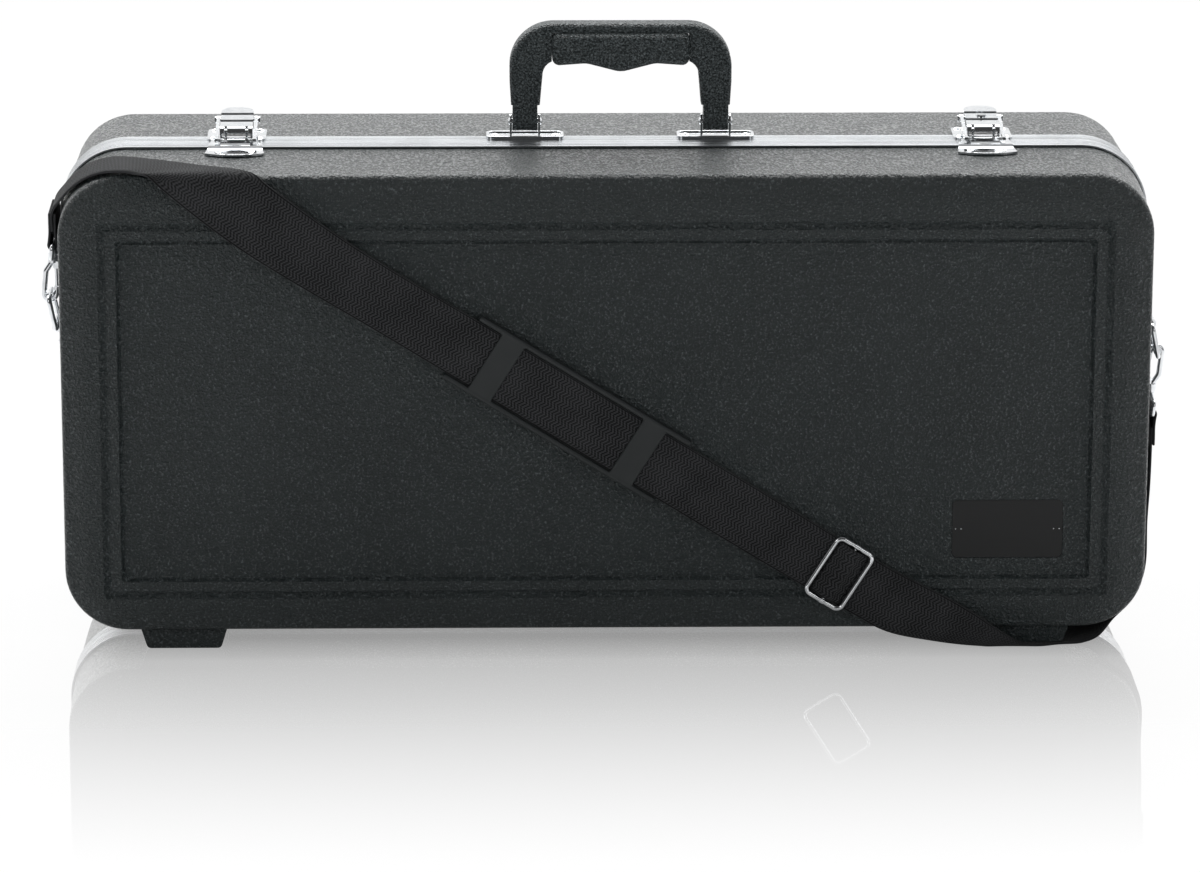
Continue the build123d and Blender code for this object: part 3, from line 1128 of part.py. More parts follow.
def cut_in(v_from, v_to):
    """Pair of Y places for a cut between two depths of the rear half."""
    return PARTING_Y + v_from, PARTING_Y + v_to


def rear_liner():
    """Foam insert with its recesses: body, bell, neck, mouthpiece and accessory box."""
    depth = BASE_DEPTH - WALL - 0.3
    liner = half_block(BASE, depth, LINER_INSET, False)
    liner -= ring_band(BASE, -1.0, LINER_RECESS, 5.0, -CORNER_RADIUS + 1.0)
    liner -= extrude(face_plane(BASE, -1.0) * Rectangle(CASE_LENGTH, CASE_HEIGHT), amount=1.0 + LINER_RECESS)
    floor = cut_in(0.0, LINER_RECESS + BODY_RECESS_DEPTH)
    end = CASE_LENGTH / 2 - RECESS_END
    top = CASE_TOP_Z - RECESS_HEAD
    bell_z = CASE_TOP_Z - BELL_DROP
    body_top = bell_z - BELL_RADIUS + BELL_OVERLAP
    body_foot = UNDERSIDE_Z + RECESS_FOOT
    body_corner = BODY_RECESS_ROUND * (body_top - body_foot)
    liner -= slab_xz(corners(-end, end, body_foot, body_top), *floor, body_corner)
    bell = Plane(origin=(CASE_LENGTH / 2 - BELL_END, floor[1], bell_z), x_dir=(1, 0, 0), z_dir=(0, -1, 0))
    liner -= extrude(bell * Circle(BELL_RADIUS), amount=floor[1] - floor[0])
    shallow = cut_in(0.0, LINER_RECESS + NECK_RECESS_DEPTH)
    neck = NECK_END - CASE_LENGTH / 2
    liner -= slab_xz(corners(neck, neck + NECK_LENGTH, top - NECK_HEIGHT, top), *shallow, NECK_CORNER)
    liner -= slab_xz(corners(end - MOUTHPIECE_LENGTH, end, top - MOUTHPIECE_HEIGHT, top), *shallow, MOUTHPIECE_CORNER)
    box = corners(BOX_X, BOX_X + BOX_LENGTH, BOX_Z, BOX_Z + BOX_HEIGHT)
    liner -= slab_xz(box, *cut_in(0.0, LINER_RECESS + BOX_DEPTH), 4.0)
    edge = BOX_LID_OVERLAP + BOX_LID_FIT
    rebate = corners(BOX_X - edge, BOX_X + BOX_LENGTH + edge, BOX_Z - edge, BOX_HINGE_Z + BOX_LID_GAUGE / 2 + 0.8)
    return liner - slab_xz(rebate, *cut_in(0.0, LINER_RECESS + BOX_LID_GAUGE + 0.3))


def box_lid():
    """Plush panel over the accessory box, hinged along its upper edge."""
    low, high = cut_in(LINER_RECESS, LINER_RECESS + BOX_LID_GAUGE)
    x0, x1 = BOX_X - BOX_LID_OVERLAP, BOX_X + BOX_LENGTH + BOX_LID_OVERLAP
    panel = slab_xz(corners(x0, x1, BOX_Z - BOX_LID_OVERLAP, BOX_HINGE_Z), low, high)
    y = PARTING_Y + BOX_HINGE_V
    return panel + across(x0, x1, y, BOX_HINGE_Z, BOX_LID_GAUGE / 2)


def box_ribbon():
    """Pull ribbon sewn to the accessory lid."""
    x = BOX_X + BOX_LENGTH / 2
    low, high = cut_in(LINER_RECESS - 0.3 - RIBBON_GAUGE, LINER_RECESS - 0.3)
    z = BOX_Z - BOX_LID_OVERLAP + 1.0 + RIBBON_LENGTH
    return slab_xz(corners(x - RIBBON_WIDTH / 2, x + RIBBON_WIDTH / 2, z - RIBBON_LENGTH, z), low, high)


def front_liner():
    """Plush-covered foam tray in the lid."""
    depth = LID_DEPTH - WALL - 0.3
    liner = half_block(LID, depth, LINER_INSET, False)
    hollow = face_plane(LID, -1.0) * outline(-LINER_INSET - LINER_SIDE)
    liner -= extrude(hollow, amount=depth - LINER_BACK + 1.0)
    return liner - extrude(face_plane(LID, -1.0) * Rectangle(CASE_LENGTH, CASE_HEIGHT), amount=1.0 + LINER_RECESS)


def badge_plate():
    """Bare plate in the badge recess."""
    plane = Plane(origin=(BADGE_X, FRONT_Y + PANEL_DEPTH + BADGE_DEPTH, BADGE_Z), x_dir=(1, 0, 0), z_dir=(0, -1, 0))
    face = RectangleRounded(BADGE_LENGTH - 2 * BADGE_MARGIN, BADGE_HEIGHT - 2 * BADGE_MARGIN, BADGE_CORNER)
    return extrude(plane * face, amount=BADGE_GAUGE)


def badge_staples():
    """Heads of the two staples at each end of the badge plate."""
    y = FRONT_Y + PANEL_DEPTH + BADGE_DEPTH - BADGE_GAUGE
    reach = BADGE_LENGTH / 2 - STAPLE_INSET
    places = [side * reach + pair * STAPLE_PITCH / 2 for side in (-1, 1) for pair in (-1, 1)]
    return [dome((BADGE_X + x, y, BADGE_Z), (0, -1, 0), STAPLE_RADIUS, 0.35) for x in places]


def front_shell():
    """Front shell with the badge recess and every rivet hole."""
    right_foot_z = STRAP_GAUGE + STRAP_CLEARANCE
    shell = case_shell(LID, LID_DEPTH, {LEFT: 0.0, RIGHT: right_foot_z})
    plane = Plane(origin=(BADGE_X, FRONT_Y, BADGE_Z), x_dir=(1, 0, 0), z_dir=(0, -1, 0))
    recess = plane * RectangleRounded(BADGE_LENGTH, BADGE_HEIGHT, BADGE_CORNER)
    shell -= extrude(recess, amount=-(PANEL_DEPTH + BADGE_DEPTH))
    return drilled(shell, [*catch_rivets, *hinge_rivets[LID], *ring_rivets])


def rear_shell():
    """Rear shell with every rivet hole."""
    shell = case_shell(BASE, BASE_DEPTH, {LEFT: 0.0, RIGHT: 0.0})
    return drilled(shell, [*latch_rivets, *handle_rivets, *hinge_rivets[BASE]])


def write(name, part):
    """One STEP file for one node; a list of solids is one node of separate solids."""
    if isinstance(part, list):
        part = Compound(children=[Compound(children=list(item.solids())) for item in part])
    export_step(part, f"parts/{name}.step")


nodes = {
    "rear_shell": rear_shell(),
    "front_shell": front_shell(),
    "rear_valance": drilled(valance(BASE), [*latch_rivets, *handle_rivets, *hinge_rivets[BASE]]),
    "front_valance": drilled(valance(LID), [*hinge_rivets[LID]]),
    "rear_liner": rear_liner(),
    "front_liner": front_liner(),
    "accessory_box_lid": box_lid(),
    "accessory_lid_ribbon": box_ribbon(),
    "rear_hinge_leaves": hinge_leaves(BASE),
    "front_hinge_leaves": hinge_leaves(LID),
    "hinge_pins": hinge_pins(),
    "rear_hinge_rivets": [rivet(*place) for place in hinge_rivets[BASE]],
    "front_hinge_rivets": [rivet(*place) for place in hinge_rivets[LID]],
    "latch_base_rivets": [rivet(*place) for place in latch_rivets],
    "catch_rivets": [rivet(*place) for place in catch_rivets],
    "handle_plate_rivets": [rivet(*place) for place in handle_rivets],
    "ring_plate_rivets": [rivet(*place) for place in ring_rivets],
    "latch_lever_pins": lever_pins(),
    "latch_lock_barrel": lock_barrel(LATCH_RIGHT_X),
    "handle_pins": handle_pins(),
    "handle_arch": handle_arch(),
    "handle_grip": handle_grip(),
    "badge_plate": badge_plate(),
    "badge_staples": badge_staples(),
    "strap_webbing": ribbon(0, FACE_RUNG_COUNT),
    "strap_lower_run": ribbon(FACE_RUNG_COUNT, len(RUNGS) - 1),
    "shoulder_pad": shoulder_pad(),
    "strap_slider": strap_slider(),
    "strap_slider_loop": strap_slider_loop(),
}
for name, x in LATCH_XS.items():
    nodes[f"latch_base_{name}"] = latch_base(x)
    nodes[f"latch_lever_{name}"] = latch_lever(x, name == "right")
    nodes[f"latch_bail_{name}"] = latch_bail(x)
    nodes[f"latch_bail_pin_{name}"] = bail_pin(x)
    nodes[f"catch_plate_{name}"] = catch_plate(x)
for name, x in PLATE_XS.items():
    nodes[f"handle_plate_{name}"] = handle_plate(x)
for name, side, way in (("left", LEFT, 1), ("right", RIGHT, -1)):
    nodes[f"ring_plate_{name}"] = ring_plate(side)
    nodes[f"d_ring_{name}"] = d_ring(side, way)
    nodes[f"snap_hook_{name}"] = snap_hook(side, way)
    nodes[f"hook_gate_{name}"] = hook_gate(side, way)
    nodes[f"strap_eye_{name}"] = strap_eye(side, way)
    nodes[f"strap_end_{name}"] = strap_end(side, way)

for node_name, node in nodes.items():
    write(node_name, node)
steps = [(rung_middle(i + 1) - rung_middle(i)).length for i in range(len(RUNGS) - 1)]
print("strap length", round(sum(steps)))
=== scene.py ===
"""Alto saxophone case: finishes, webbing, pad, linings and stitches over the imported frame.

Finishes are in metres. Pieces are given in millimetres and made in metres.
"""
from math import cos, radians, sin, tan

import bmesh
import bpy
from mathutils import Matrix, Vector, noise


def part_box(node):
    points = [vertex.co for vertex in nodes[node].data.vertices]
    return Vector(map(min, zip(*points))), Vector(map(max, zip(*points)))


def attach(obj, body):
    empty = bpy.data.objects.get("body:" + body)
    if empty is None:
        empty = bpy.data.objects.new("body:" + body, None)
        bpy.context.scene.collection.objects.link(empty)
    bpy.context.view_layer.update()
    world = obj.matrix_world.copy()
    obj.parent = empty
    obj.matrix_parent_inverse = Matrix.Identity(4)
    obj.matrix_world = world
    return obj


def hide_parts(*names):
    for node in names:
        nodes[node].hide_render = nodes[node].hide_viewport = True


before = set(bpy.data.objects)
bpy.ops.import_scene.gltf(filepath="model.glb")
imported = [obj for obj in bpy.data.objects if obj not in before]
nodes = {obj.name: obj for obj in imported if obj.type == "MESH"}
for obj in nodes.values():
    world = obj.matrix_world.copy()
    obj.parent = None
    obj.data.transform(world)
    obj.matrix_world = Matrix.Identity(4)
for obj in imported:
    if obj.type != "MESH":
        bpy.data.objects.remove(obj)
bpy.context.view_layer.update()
scene = bpy.context.scene

# Shader maths


class Field:
    """One shader output, usable in arithmetic."""

    def __init__(self, finish, socket):
        self.finish, self.socket = finish, socket

    def maths(self, operation, *values):
        return self.finish.add("ShaderNodeMath", dict(enumerate(values)), operation=operation)

    def __add__(self, other):
        return self.maths("ADD", self, other)

    def __sub__(self, other):
        return self.maths("SUBTRACT", self, other)

    def __rsub__(self, other):
        return self.maths("SUBTRACT", other, self)

    def __mul__(self, other):
        return self.maths("MULTIPLY", self, other)

    def __truediv__(self, other):
        return self.maths("DIVIDE", self, other)

    def __pow__(self, other):
        return self.maths("POWER", self, other)

    def __mod__(self, other):
        return self.maths("FLOORED_MODULO", self, other)

    def __abs__(self):
        return self.maths("ABSOLUTE", self)

    def over(self, edge):
        return self.maths("GREATER_THAN", self, edge)

    def larger(self, other):
        return self.maths("MAXIMUM", self, other)

    __radd__, __rmul__ = __add__, __mul__


class Finish:
    """A material under construction."""

    def __init__(self, name, **fixed):
        self.material = bpy.data.materials.new(name)
        self.material.use_nodes = True
        self.tree = self.material.node_tree
        self.shader = self.tree.nodes["Principled BSDF"]
        for socket, value in fixed.items():
            self.shader.inputs[socket.replace("_", " ")].default_value = value

    def add(self, kind, sockets=None, output=0, **settings):
        """One node: its settings first, then the values or links of its sockets."""
        node = self.tree.nodes.new(kind)
        for name, value in settings.items():
            setattr(node, name, value)
        for name, value in (sockets or {}).items():
            self.feed(node.inputs[name], value)
        return Field(self, node.outputs[output])

    def feed(self, socket, value):
        if isinstance(value, Field):
            self.tree.links.new(value.socket, socket)
        else:
            socket.default_value = value

    def drive(self, **sockets):
        for name, value in sockets.items():
            self.feed(self.shader.inputs[name.replace("_", " ")], value)

    def place(self, scale=(1, 1, 1)):
        """The piece's own coordinates. A pattern is finer along an axis with a larger scale."""
        coordinates = self.add("ShaderNodeTexCoord", output="Object")
        return self.add("ShaderNodeMapping", {"Vector": coordinates, "Scale": scale})

    def axes(self, vector):
        node = self.tree.nodes.new("ShaderNodeSeparateXYZ")
        self.feed(node.inputs[0], vector)
        return [Field(self, socket) for socket in node.outputs]

    def cloud(self, size, detail=2.0, roughness=0.5, vector=None):
        return self.add("ShaderNodeTexNoise", {
            "Vector": vector or self.place(),
            "Scale": 1 / size,
            "Detail": detail,
            "Roughness": roughness,
        })

    def cells(self, size, vector=None, **settings):
        sockets = {"Vector": vector or self.place(), "Scale": 1 / size, "Randomness": 1.0}
        return self.add("ShaderNodeTexVoronoi", sockets, output="Distance", **settings)

    def spread(self, value, low, high, start=0.0, end=1.0):
        """From low to high while the value goes from start to end."""
        return self.add("ShaderNodeMapRange", {"Value": value, 1: start, 2: end, 3: low, 4: high})

    def blend(self, amount, first, second):
        sockets = {"Factor": amount, 6: first, 7: second}
        return self.add("ShaderNodeMix", sockets, output=2, data_type="RGBA")

    def bump(self, height, depth, strength=1.0):
        return self.add("ShaderNodeBump", {"Height": height, "Distance": depth, "Strength": strength})


def shade(red, green, blue):
    """Colour as it reads on a screen, from 0 to 255."""
    def channel(value):
        value /= 255
        return value / 12.92 if value <= 0.04045 else ((value + 0.055) / 1.055) ** 2.4
    return (channel(red), channel(green), channel(blue), 1.0)


def repeat(value, period):
    """Distance from the middle of each period, from 0 to 0.5."""
    return abs(value / period % 1.0 - 0.5)


# Finishes


def pebbled_plastic():
    """Charcoal thermoplastic with its pebble grain, glossier on the grains, with painted highlights: pale
    flecks in the colour of the grains stand in for their glints.
    """
    f = Finish("pebbled_plastic", IOR=1.55, Coat_Roughness=0.3, Coat_IOR=1.22)
    drawn = f.place((1, 0.42, 1))
    pebbles = f.cells(0.0020, vector=drawn, feature="SMOOTH_F1")
    grain = f.cloud(0.0014, 2.0, 0.62, drawn)
    swell = f.cloud(0.05, 2.0)
    wear = f.cloud(0.012, 4.0)
    tone = f.blend(f.spread(swell, 0, 1, 0.3, 0.7), shade(31, 39, 40), shade(36, 44, 45))
    f.drive(
        # Pale flecks on the grains are painted highlights, the pebbles' glints put into the colour.
        Base_Color=f.blend(f.spread(grain, 0, 1, 0.57, 0.74), tone, shade(92, 100, 102)),
        Roughness=f.spread(wear, 0.3, 0.42, 0.3, 0.7),
        Coat_Weight=f.spread(grain, 0, 1, 0.48, 0.58),
        Normal=f.bump(grain * 1.6 - pebbles * 0.7, 0.0024, 1.0),
    )
    return f.material


def grained_moulding():
    """Black handle moulding with a leather grain."""
    f = Finish("grained_moulding", IOR=1.5)
    hide = f.cells(0.0016, feature="F1")
    crease = f.cells(0.0023, feature="DISTANCE_TO_EDGE")
    grain = f.cloud(0.0012, 3.0)
    f.drive(
        Base_Color=f.blend(f.spread(grain, 0, 1, 0.42, 0.7), shade(34, 41, 42), shade(104, 112, 114)),
        Roughness=f.spread(f.cloud(0.008, 3.0), 0.36, 0.5, 0.3, 0.7),
        Normal=f.bump(f.spread(crease, 0, 1, 0, 0.25) - hide * 0.4 + grain, 0.0009, 1.0),
    )
    return f.material


def drawn_aluminium():
    """Bright extrusion with draw lines that run along it."""
    f = Finish("drawn_aluminium", Metallic=1.0)
    lines = f.cloud(0.02, 2.0, 0.6, f.place((0.1, 30, 0.1)))
    smudge = f.cloud(0.03, 3.0)
    f.drive(
        Base_Color=f.blend(f.spread(smudge, 0, 1, 0.35, 0.7), shade(200, 203, 206), shade(184, 187, 190)),
        Roughness=f.spread(lines, 0.2, 0.38, 0.3, 0.7),
        Normal=f.bump(lines, 0.00004, 0.5),
    )
    return f.material


def plated():
    """Bright plating with faint handling marks."""
    f = Finish("bright_plating", Metallic=1.0)
    smudge = f.cloud(0.006, 3.0)
    scratch = f.cloud(0.004, 2.0, 0.5, f.place((1, 9, 1)))
    f.drive(
        Base_Color=f.blend(f.spread(smudge, 0, 1, 0.4, 0.7), shade(232, 234, 236), shade(212, 215, 218)),
        Roughness=f.spread(smudge * 0.7 + scratch * 0.3, 0.05, 0.17, 0.35, 0.7),
        Normal=f.bump(f.cloud(0.01, 2.0), 0.00006, 0.3),
    )
    return f.material


# Weave, in metres: its zigzag and swing, the pitches of ribs and yarns, then its middle and its plain edges
WEAVE_ZIGZAG, WEAVE_SWING, WEAVE_RIB, WEAVE_YARN = 0.0062, 0.0042, 0.0023, 0.0013
WEAVE_MIDDLE, SELVEDGE = 0.019, 0.0012


def webbing(name, dark=1.0):
    """Woven webbing: fine ribs across it that zigzag, and plain selvedges, with painted shade: its colour is
    darker where the weave lies low. Its map is in metres.
    """
    f = Finish(name, Sheen_Weight=0.05, Sheen_Roughness=0.5, Specular_IOR_Level=0.2)
    u, v, _ = f.axes(f.add("ShaderNodeUVMap", uv_map="weave"))
    rib = repeat(v + repeat(u, WEAVE_ZIGZAG) * WEAVE_SWING, WEAVE_RIB) * 2
    yarn = repeat(u, WEAVE_YARN) * 2
    selvedge = abs(u - WEAVE_MIDDLE).over(WEAVE_MIDDLE - SELVEDGE)
    height = f.add("ShaderNodeMix", {"Factor": selvedge, 2: rib * 0.75 + yarn * 0.35, 3: yarn * 0.8})
    fuzz = f.cloud(0.0006, 3.0)
    fade = f.spread(f.cloud(0.02, 3.0), -0.1, 0.1, 0.3, 0.7)
    low, high = shade(4 * dark, 5 * dark, 6 * dark), shade(62 * dark, 63 * dark, 65 * dark)
    f.drive(
        # The weave's height sets the colour, darker in its hollows: painted shade between the ribs and yarns.
        Base_Color=f.blend(height * 1.1 - 0.35 + fade + fuzz * 0.3, low, high),
        Roughness=f.spread(fuzz, 0.8, 0.95),
        Normal=f.bump(height + fuzz * 0.25, 0.00035, 0.9),
    )
    return f.material


def thread_finish():
    """Sewing thread."""
    f = Finish("sewing_thread", Roughness=0.6)
    twist = f.cloud(0.0004, 2.0)
    f.drive(
        Base_Color=f.blend(twist, shade(16, 17, 18), shade(40, 42, 43)),
        Normal=f.bump(twist, 0.0001, 0.6),
    )
    return f.material


def moulded_rubber():
    """Dark pad moulding, smooth with a faint flow in it."""
    f = Finish("moulded_rubber", IOR=1.48)
    flow = f.cloud(0.01, 4.0)
    skin = f.cloud(0.0005, 2.0)
    f.drive(
        Base_Color=f.blend(flow, shade(23, 28, 29), shade(29, 34, 35)),
        Roughness=f.spread(flow, 0.5, 0.62, 0.3, 0.7),
        Normal=f.bump(skin, 0.00006, 0.5),
    )
    return f.material


def plush(name, low, high):
    """Deep pile that lies in soft patches."""
    f = Finish(name, Sheen_Weight=0.6, Sheen_Roughness=0.35, Specular_IOR_Level=0.15)
    pile = f.cloud(0.0009, 3.0, 0.65)
    brushed = f.cloud(0.022, 3.0, 0.6)
    tufts = f.cells(0.0014, feature="F1")
    f.drive(
        Base_Color=f.blend(f.spread(brushed, 0, 0.7, 0.3, 0.7) + pile * 0.3, low, high),
        Roughness=f.spread(pile, 0.85, 1.0),
        Normal=f.bump(pile - tufts * 0.6 + brushed * 2.0, 0.0008, 0.9),
    )
    return f.material


def satin_plate():
    """Bare badge plate, brushed across."""
    f = Finish("satin_plate", Metallic=0.3, IOR=1.5)
    brush = f.cloud(0.02, 4.0, 0.7, f.place((0.5, 1, 50)))
    f.drive(
        Base_Color=f.blend(f.spread(brush, 0, 1, 0.3, 0.7), shade(8, 9, 10), shade(16, 18, 19)),
        Roughness=f.spread(brush, 0.32, 0.45, 0.3, 0.7),
        Normal=f.bump(brush, 0.00003, 0.4),
    )
    return f.material


PEBBLE, MOULDING, ALUMINIUM, PLATING = pebbled_plastic(), grained_moulding(), drawn_aluminium(), plated()
WEBBING, THREAD, RUBBER = webbing("woven_webbing"), thread_finish(), moulded_rubber()
PLUSH = plush("black_plush", shade(14, 14, 16), shade(36, 36, 40))
RIBBON = webbing("pull_ribbon", 0.8)
PLATE = satin_plate()

# Finishes of the CAD nodes. All other nodes are plated fittings.
NODE_FINISHES = {
    PEBBLE: ("rear_shell", "front_shell"),
    ALUMINIUM: ("rear_valance", "front_valance"),
    MOULDING: ("handle_arch", "handle_grip"),
    PLATE: ("badge_plate",),
    RUBBER: ("shoulder_pad",),
    PLUSH: ("rear_liner", "front_liner", "accessory_box_lid"),
    WEBBING: ("strap_webbing", "strap_lower_run", "strap_end_left", "strap_end_right", "strap_slider_loop"),
    RIBBON: ("accessory_lid_ribbon",),
}
FINISH_OF = {name: finish for finish, names in NODE_FINISHES.items() for name in names}

for name, node in nodes.items():
    node.data.materials.clear()
    node.data.materials.append(FINISH_OF.get(name, PLATING))

# Pieces

MM = 0.001

# Sizes of the case that the pieces follow, in millimetres like the sizes of every piece
FRONT_Y, TOP_Z, UNDERSIDE_Z, HALF_LENGTH, CORNER_RADIUS = -87.1, 299.9, 11.1, 332.0, 40.0
CORNER_X = HALF_LENGTH - CORNER_RADIUS
CORNER_TOP_Z, CORNER_LOW_Z = TOP_Z - CORNER_RADIUS, UNDERSIDE_Z + CORNER_RADIUS

# The strap: its webbing, the share of its gauge that rounds its edges, its slant, and its ends' eyes
STRAP_WIDTH, STRAP_GAUGE, STRAP_LIFT, STRAP_CLEARANCE = 38.0, 1.5, 1.1, 0.3
EDGE_ROUND = 0.35
STRAP_ANGLE = radians(32.0)
STRAP_MID_X, STRAP_MID_Z = -24.0, 153.8
RING_Y, EYE_X, EYE_LEFT_Z, EYE_RIGHT_Z = -37.1, 335.16, 248.67, 140.33
ENDS = ((-1, 1, EYE_LEFT_Z, "left"), (1, -1, EYE_RIGHT_Z, "right"))
CORNER_TURN = CORNER_RADIUS + STRAP_GAUGE / 2 + STRAP_CLEARANCE

# Sewn ends of the strap: where both layers lie together, how they bend round the eye, and where the run joins
LOOP_NECK, LOOP_LEG = 8.0, 20.0
LOOP_MIDDLE = (LOOP_NECK + LOOP_LEG) / 2
LAYER_OUT, BEND_OUT, SHOULDER_OUT, SHOULDER_ALONG = STRAP_GAUGE + 0.15, 2.55, 2.15, 2.6
FOLD_START = LOOP_NECK + 0.5
FOLD_END = FOLD_START + LOOP_LEG - LOOP_NECK

# The slider, down the run from the strap's middle, and the heights of the webbing beside its bar and over it
SLIDER_ALONG, SLIDER_REACH = 196.0, 17.7
SLIDER_LOW, SLIDER_HIGH = 1.5 * STRAP_GAUGE + 0.1, STRAP_GAUGE + 4.45


def piece(name, form, finish, body, *hidden, slot=None):
    """Object from a bmesh, in place, riding on a body and standing for the CAD nodes that it hides."""
    mesh = bpy.data.meshes.new(name)
    form.to_mesh(mesh)
    form.free()
    mesh.materials.append(finish)
    mesh.polygons.foreach_set("use_smooth", [True] * len(mesh.polygons))
    made = bpy.data.objects.new(name, mesh)
    scene.collection.objects.link(made)
    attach(made, body)
    if hidden:
        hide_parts(*hidden)
    return made


def apply(made):
    """Bake a piece's modifiers into its mesh."""
    bpy.context.view_layer.update()
    graph = bpy.context.evaluated_depsgraph_get()
    baked = bpy.data.meshes.new_from_object(made.evaluated_get(graph), preserve_all_data_layers=True,
                                            depsgraph=graph)
    made.modifiers.clear()
    made.data = baked


def catmull(points, pitch):
    """Points a pitch apart along a smooth line through all of the given ones."""
    line = []
    for index in range(len(points) - 1):
        p0, p1 = points[max(index - 1, 0)], points[index]
        p2, p3 = points[index + 1], points[min(index + 2, len(points) - 1)]
        d0, d1, d2 = (max((b - a).length, 1e-6) ** 0.5 for a, b in ((p0, p1), (p1, p2), (p2, p3)))
        leaving = arriving = p2 - p1
        if index > 0:
            leaving = ((p1 - p0) / d0 - (p2 - p0) / (d0 + d1) + (p2 - p1) / d1) * d1
        if index < len(points) - 2:
            arriving = ((p2 - p1) / d1 - (p3 - p1) / (d1 + d2) + (p3 - p2) / d2) * d1
        count = max(2, round((p2 - p1).length / pitch))
        for step in range(count):
            t = step / count
            line.append(p1 * (2 * t**3 - 3 * t**2 + 1) + leaving * (t**3 - 2 * t**2 + t)
                        + p2 * (3 * t**2 - 2 * t**3) + arriving * (t**3 - t**2))
    return line + [points[-1]]


def woven_band(name, rungs, gauge, finish, body, *hidden, across=10, pitch=4.0, rests=("front_shell",)):
    """Flat webbing through its rungs, in millimetres, with its weave map across and along it."""
    stations = catmull([Vector((*near, *far)) for near, far in rungs], pitch)
    edges = [(Vector(station[:3]), Vector(station[3:])) for station in stations]
    doubled_middles = [near + far for near, far in edges]
    lengths, total = [0.0], 0.0
    for before, after in zip(doubled_middles, doubled_middles[1:]):
        total += (after - before).length / 2
        lengths.append(total)
    wide = (edges[0][1] - edges[0][0]).length
    last = len(edges) - 1
    form = bmesh.new()
    bmesh.ops.create_grid(form, x_segments=across, y_segments=last, size=0.5)
    weave = form.loops.layers.uv.new("weave")
    spots = {}
    for vert in form.verts:
        share, row = vert.co.x + 0.5, round((vert.co.y + 0.5) * last)
        near, far = edges[row]
        along = doubled_middles[min(row + 1, last)] - doubled_middles[max(row - 1, 0)]
        skew = (far - near).dot(along.normalized()) * (share - 0.5)
        spots[vert] = (share * wide, lengths[row] + skew)
        vert.co = near.lerp(far, share) * MM
    for face in form.faces:
        for loop in face.loops:
            u, v = spots[loop.vert]
            loop[weave].uv = (u * MM, v * MM)
    bmesh.ops.recalc_face_normals(form, faces=form.faces)
    made = piece(name, form, finish, body, *hidden, slot="webbing")
    thick = made.modifiers.new("gauge", "SOLIDIFY")
    thick.thickness, thick.offset, thick.use_even_offset = gauge * MM, 0.0, True
    edge = made.modifiers.new("selvedge", "BEVEL")
    edge.width, edge.segments = EDGE_ROUND * gauge * MM, 2
    edge.limit_method, edge.angle_limit = "ANGLE", radians(60)
    apply(made)
    return made


def face_rung(z):
    """Rung on the front face, level, where the strap crosses a height."""
    x = STRAP_MID_X + (STRAP_MID_Z - z) / tan(STRAP_ANGLE)
    half = STRAP_WIDTH / 2 / sin(STRAP_ANGLE)
    y = FRONT_Y - STRAP_LIFT - STRAP_GAUGE / 2
    return (x - half, y, z), (x + half, y, z)


def side_rung(x, z, y, way):
    """Rung along Y; way is 1 where its first edge is the front one."""
    half = STRAP_WIDTH / 2
    return (x, y - way * half, z), (x, y + way * half, z)


def corner_rung(side, angle, radius, y):
    """Rung round a case corner, at an angle from the top (left corner) or the underside (right corner)."""
    turn = radians(angle)
    if side < 0:
        return side_rung(-CORNER_X - radius * sin(turn), CORNER_TOP_Z + radius * cos(turn), y, 1)
    return side_rung(CORNER_X + radius * sin(turn), CORNER_LOW_Z - radius * cos(turn), y, -1)


def top_rung(near, far):
    """Rung by the top left corner: how far each edge is in from the end, back from the face and down."""
    return tuple((-HALF_LENGTH + inward, FRONT_Y + back, TOP_Z - down) for inward, back, down in (near, far))


def low_rung(near, far):
    """Rung by the lower right corner: how far each edge is in from the end, back from the face and up."""
    return tuple((HALF_LENGTH - inward, FRONT_Y + back, up) for inward, back, up in (near, far))


BACK, FLOOR = -STRAP_LIFT - STRAP_GAUGE / 2, STRAP_GAUGE / 2 + 0.02

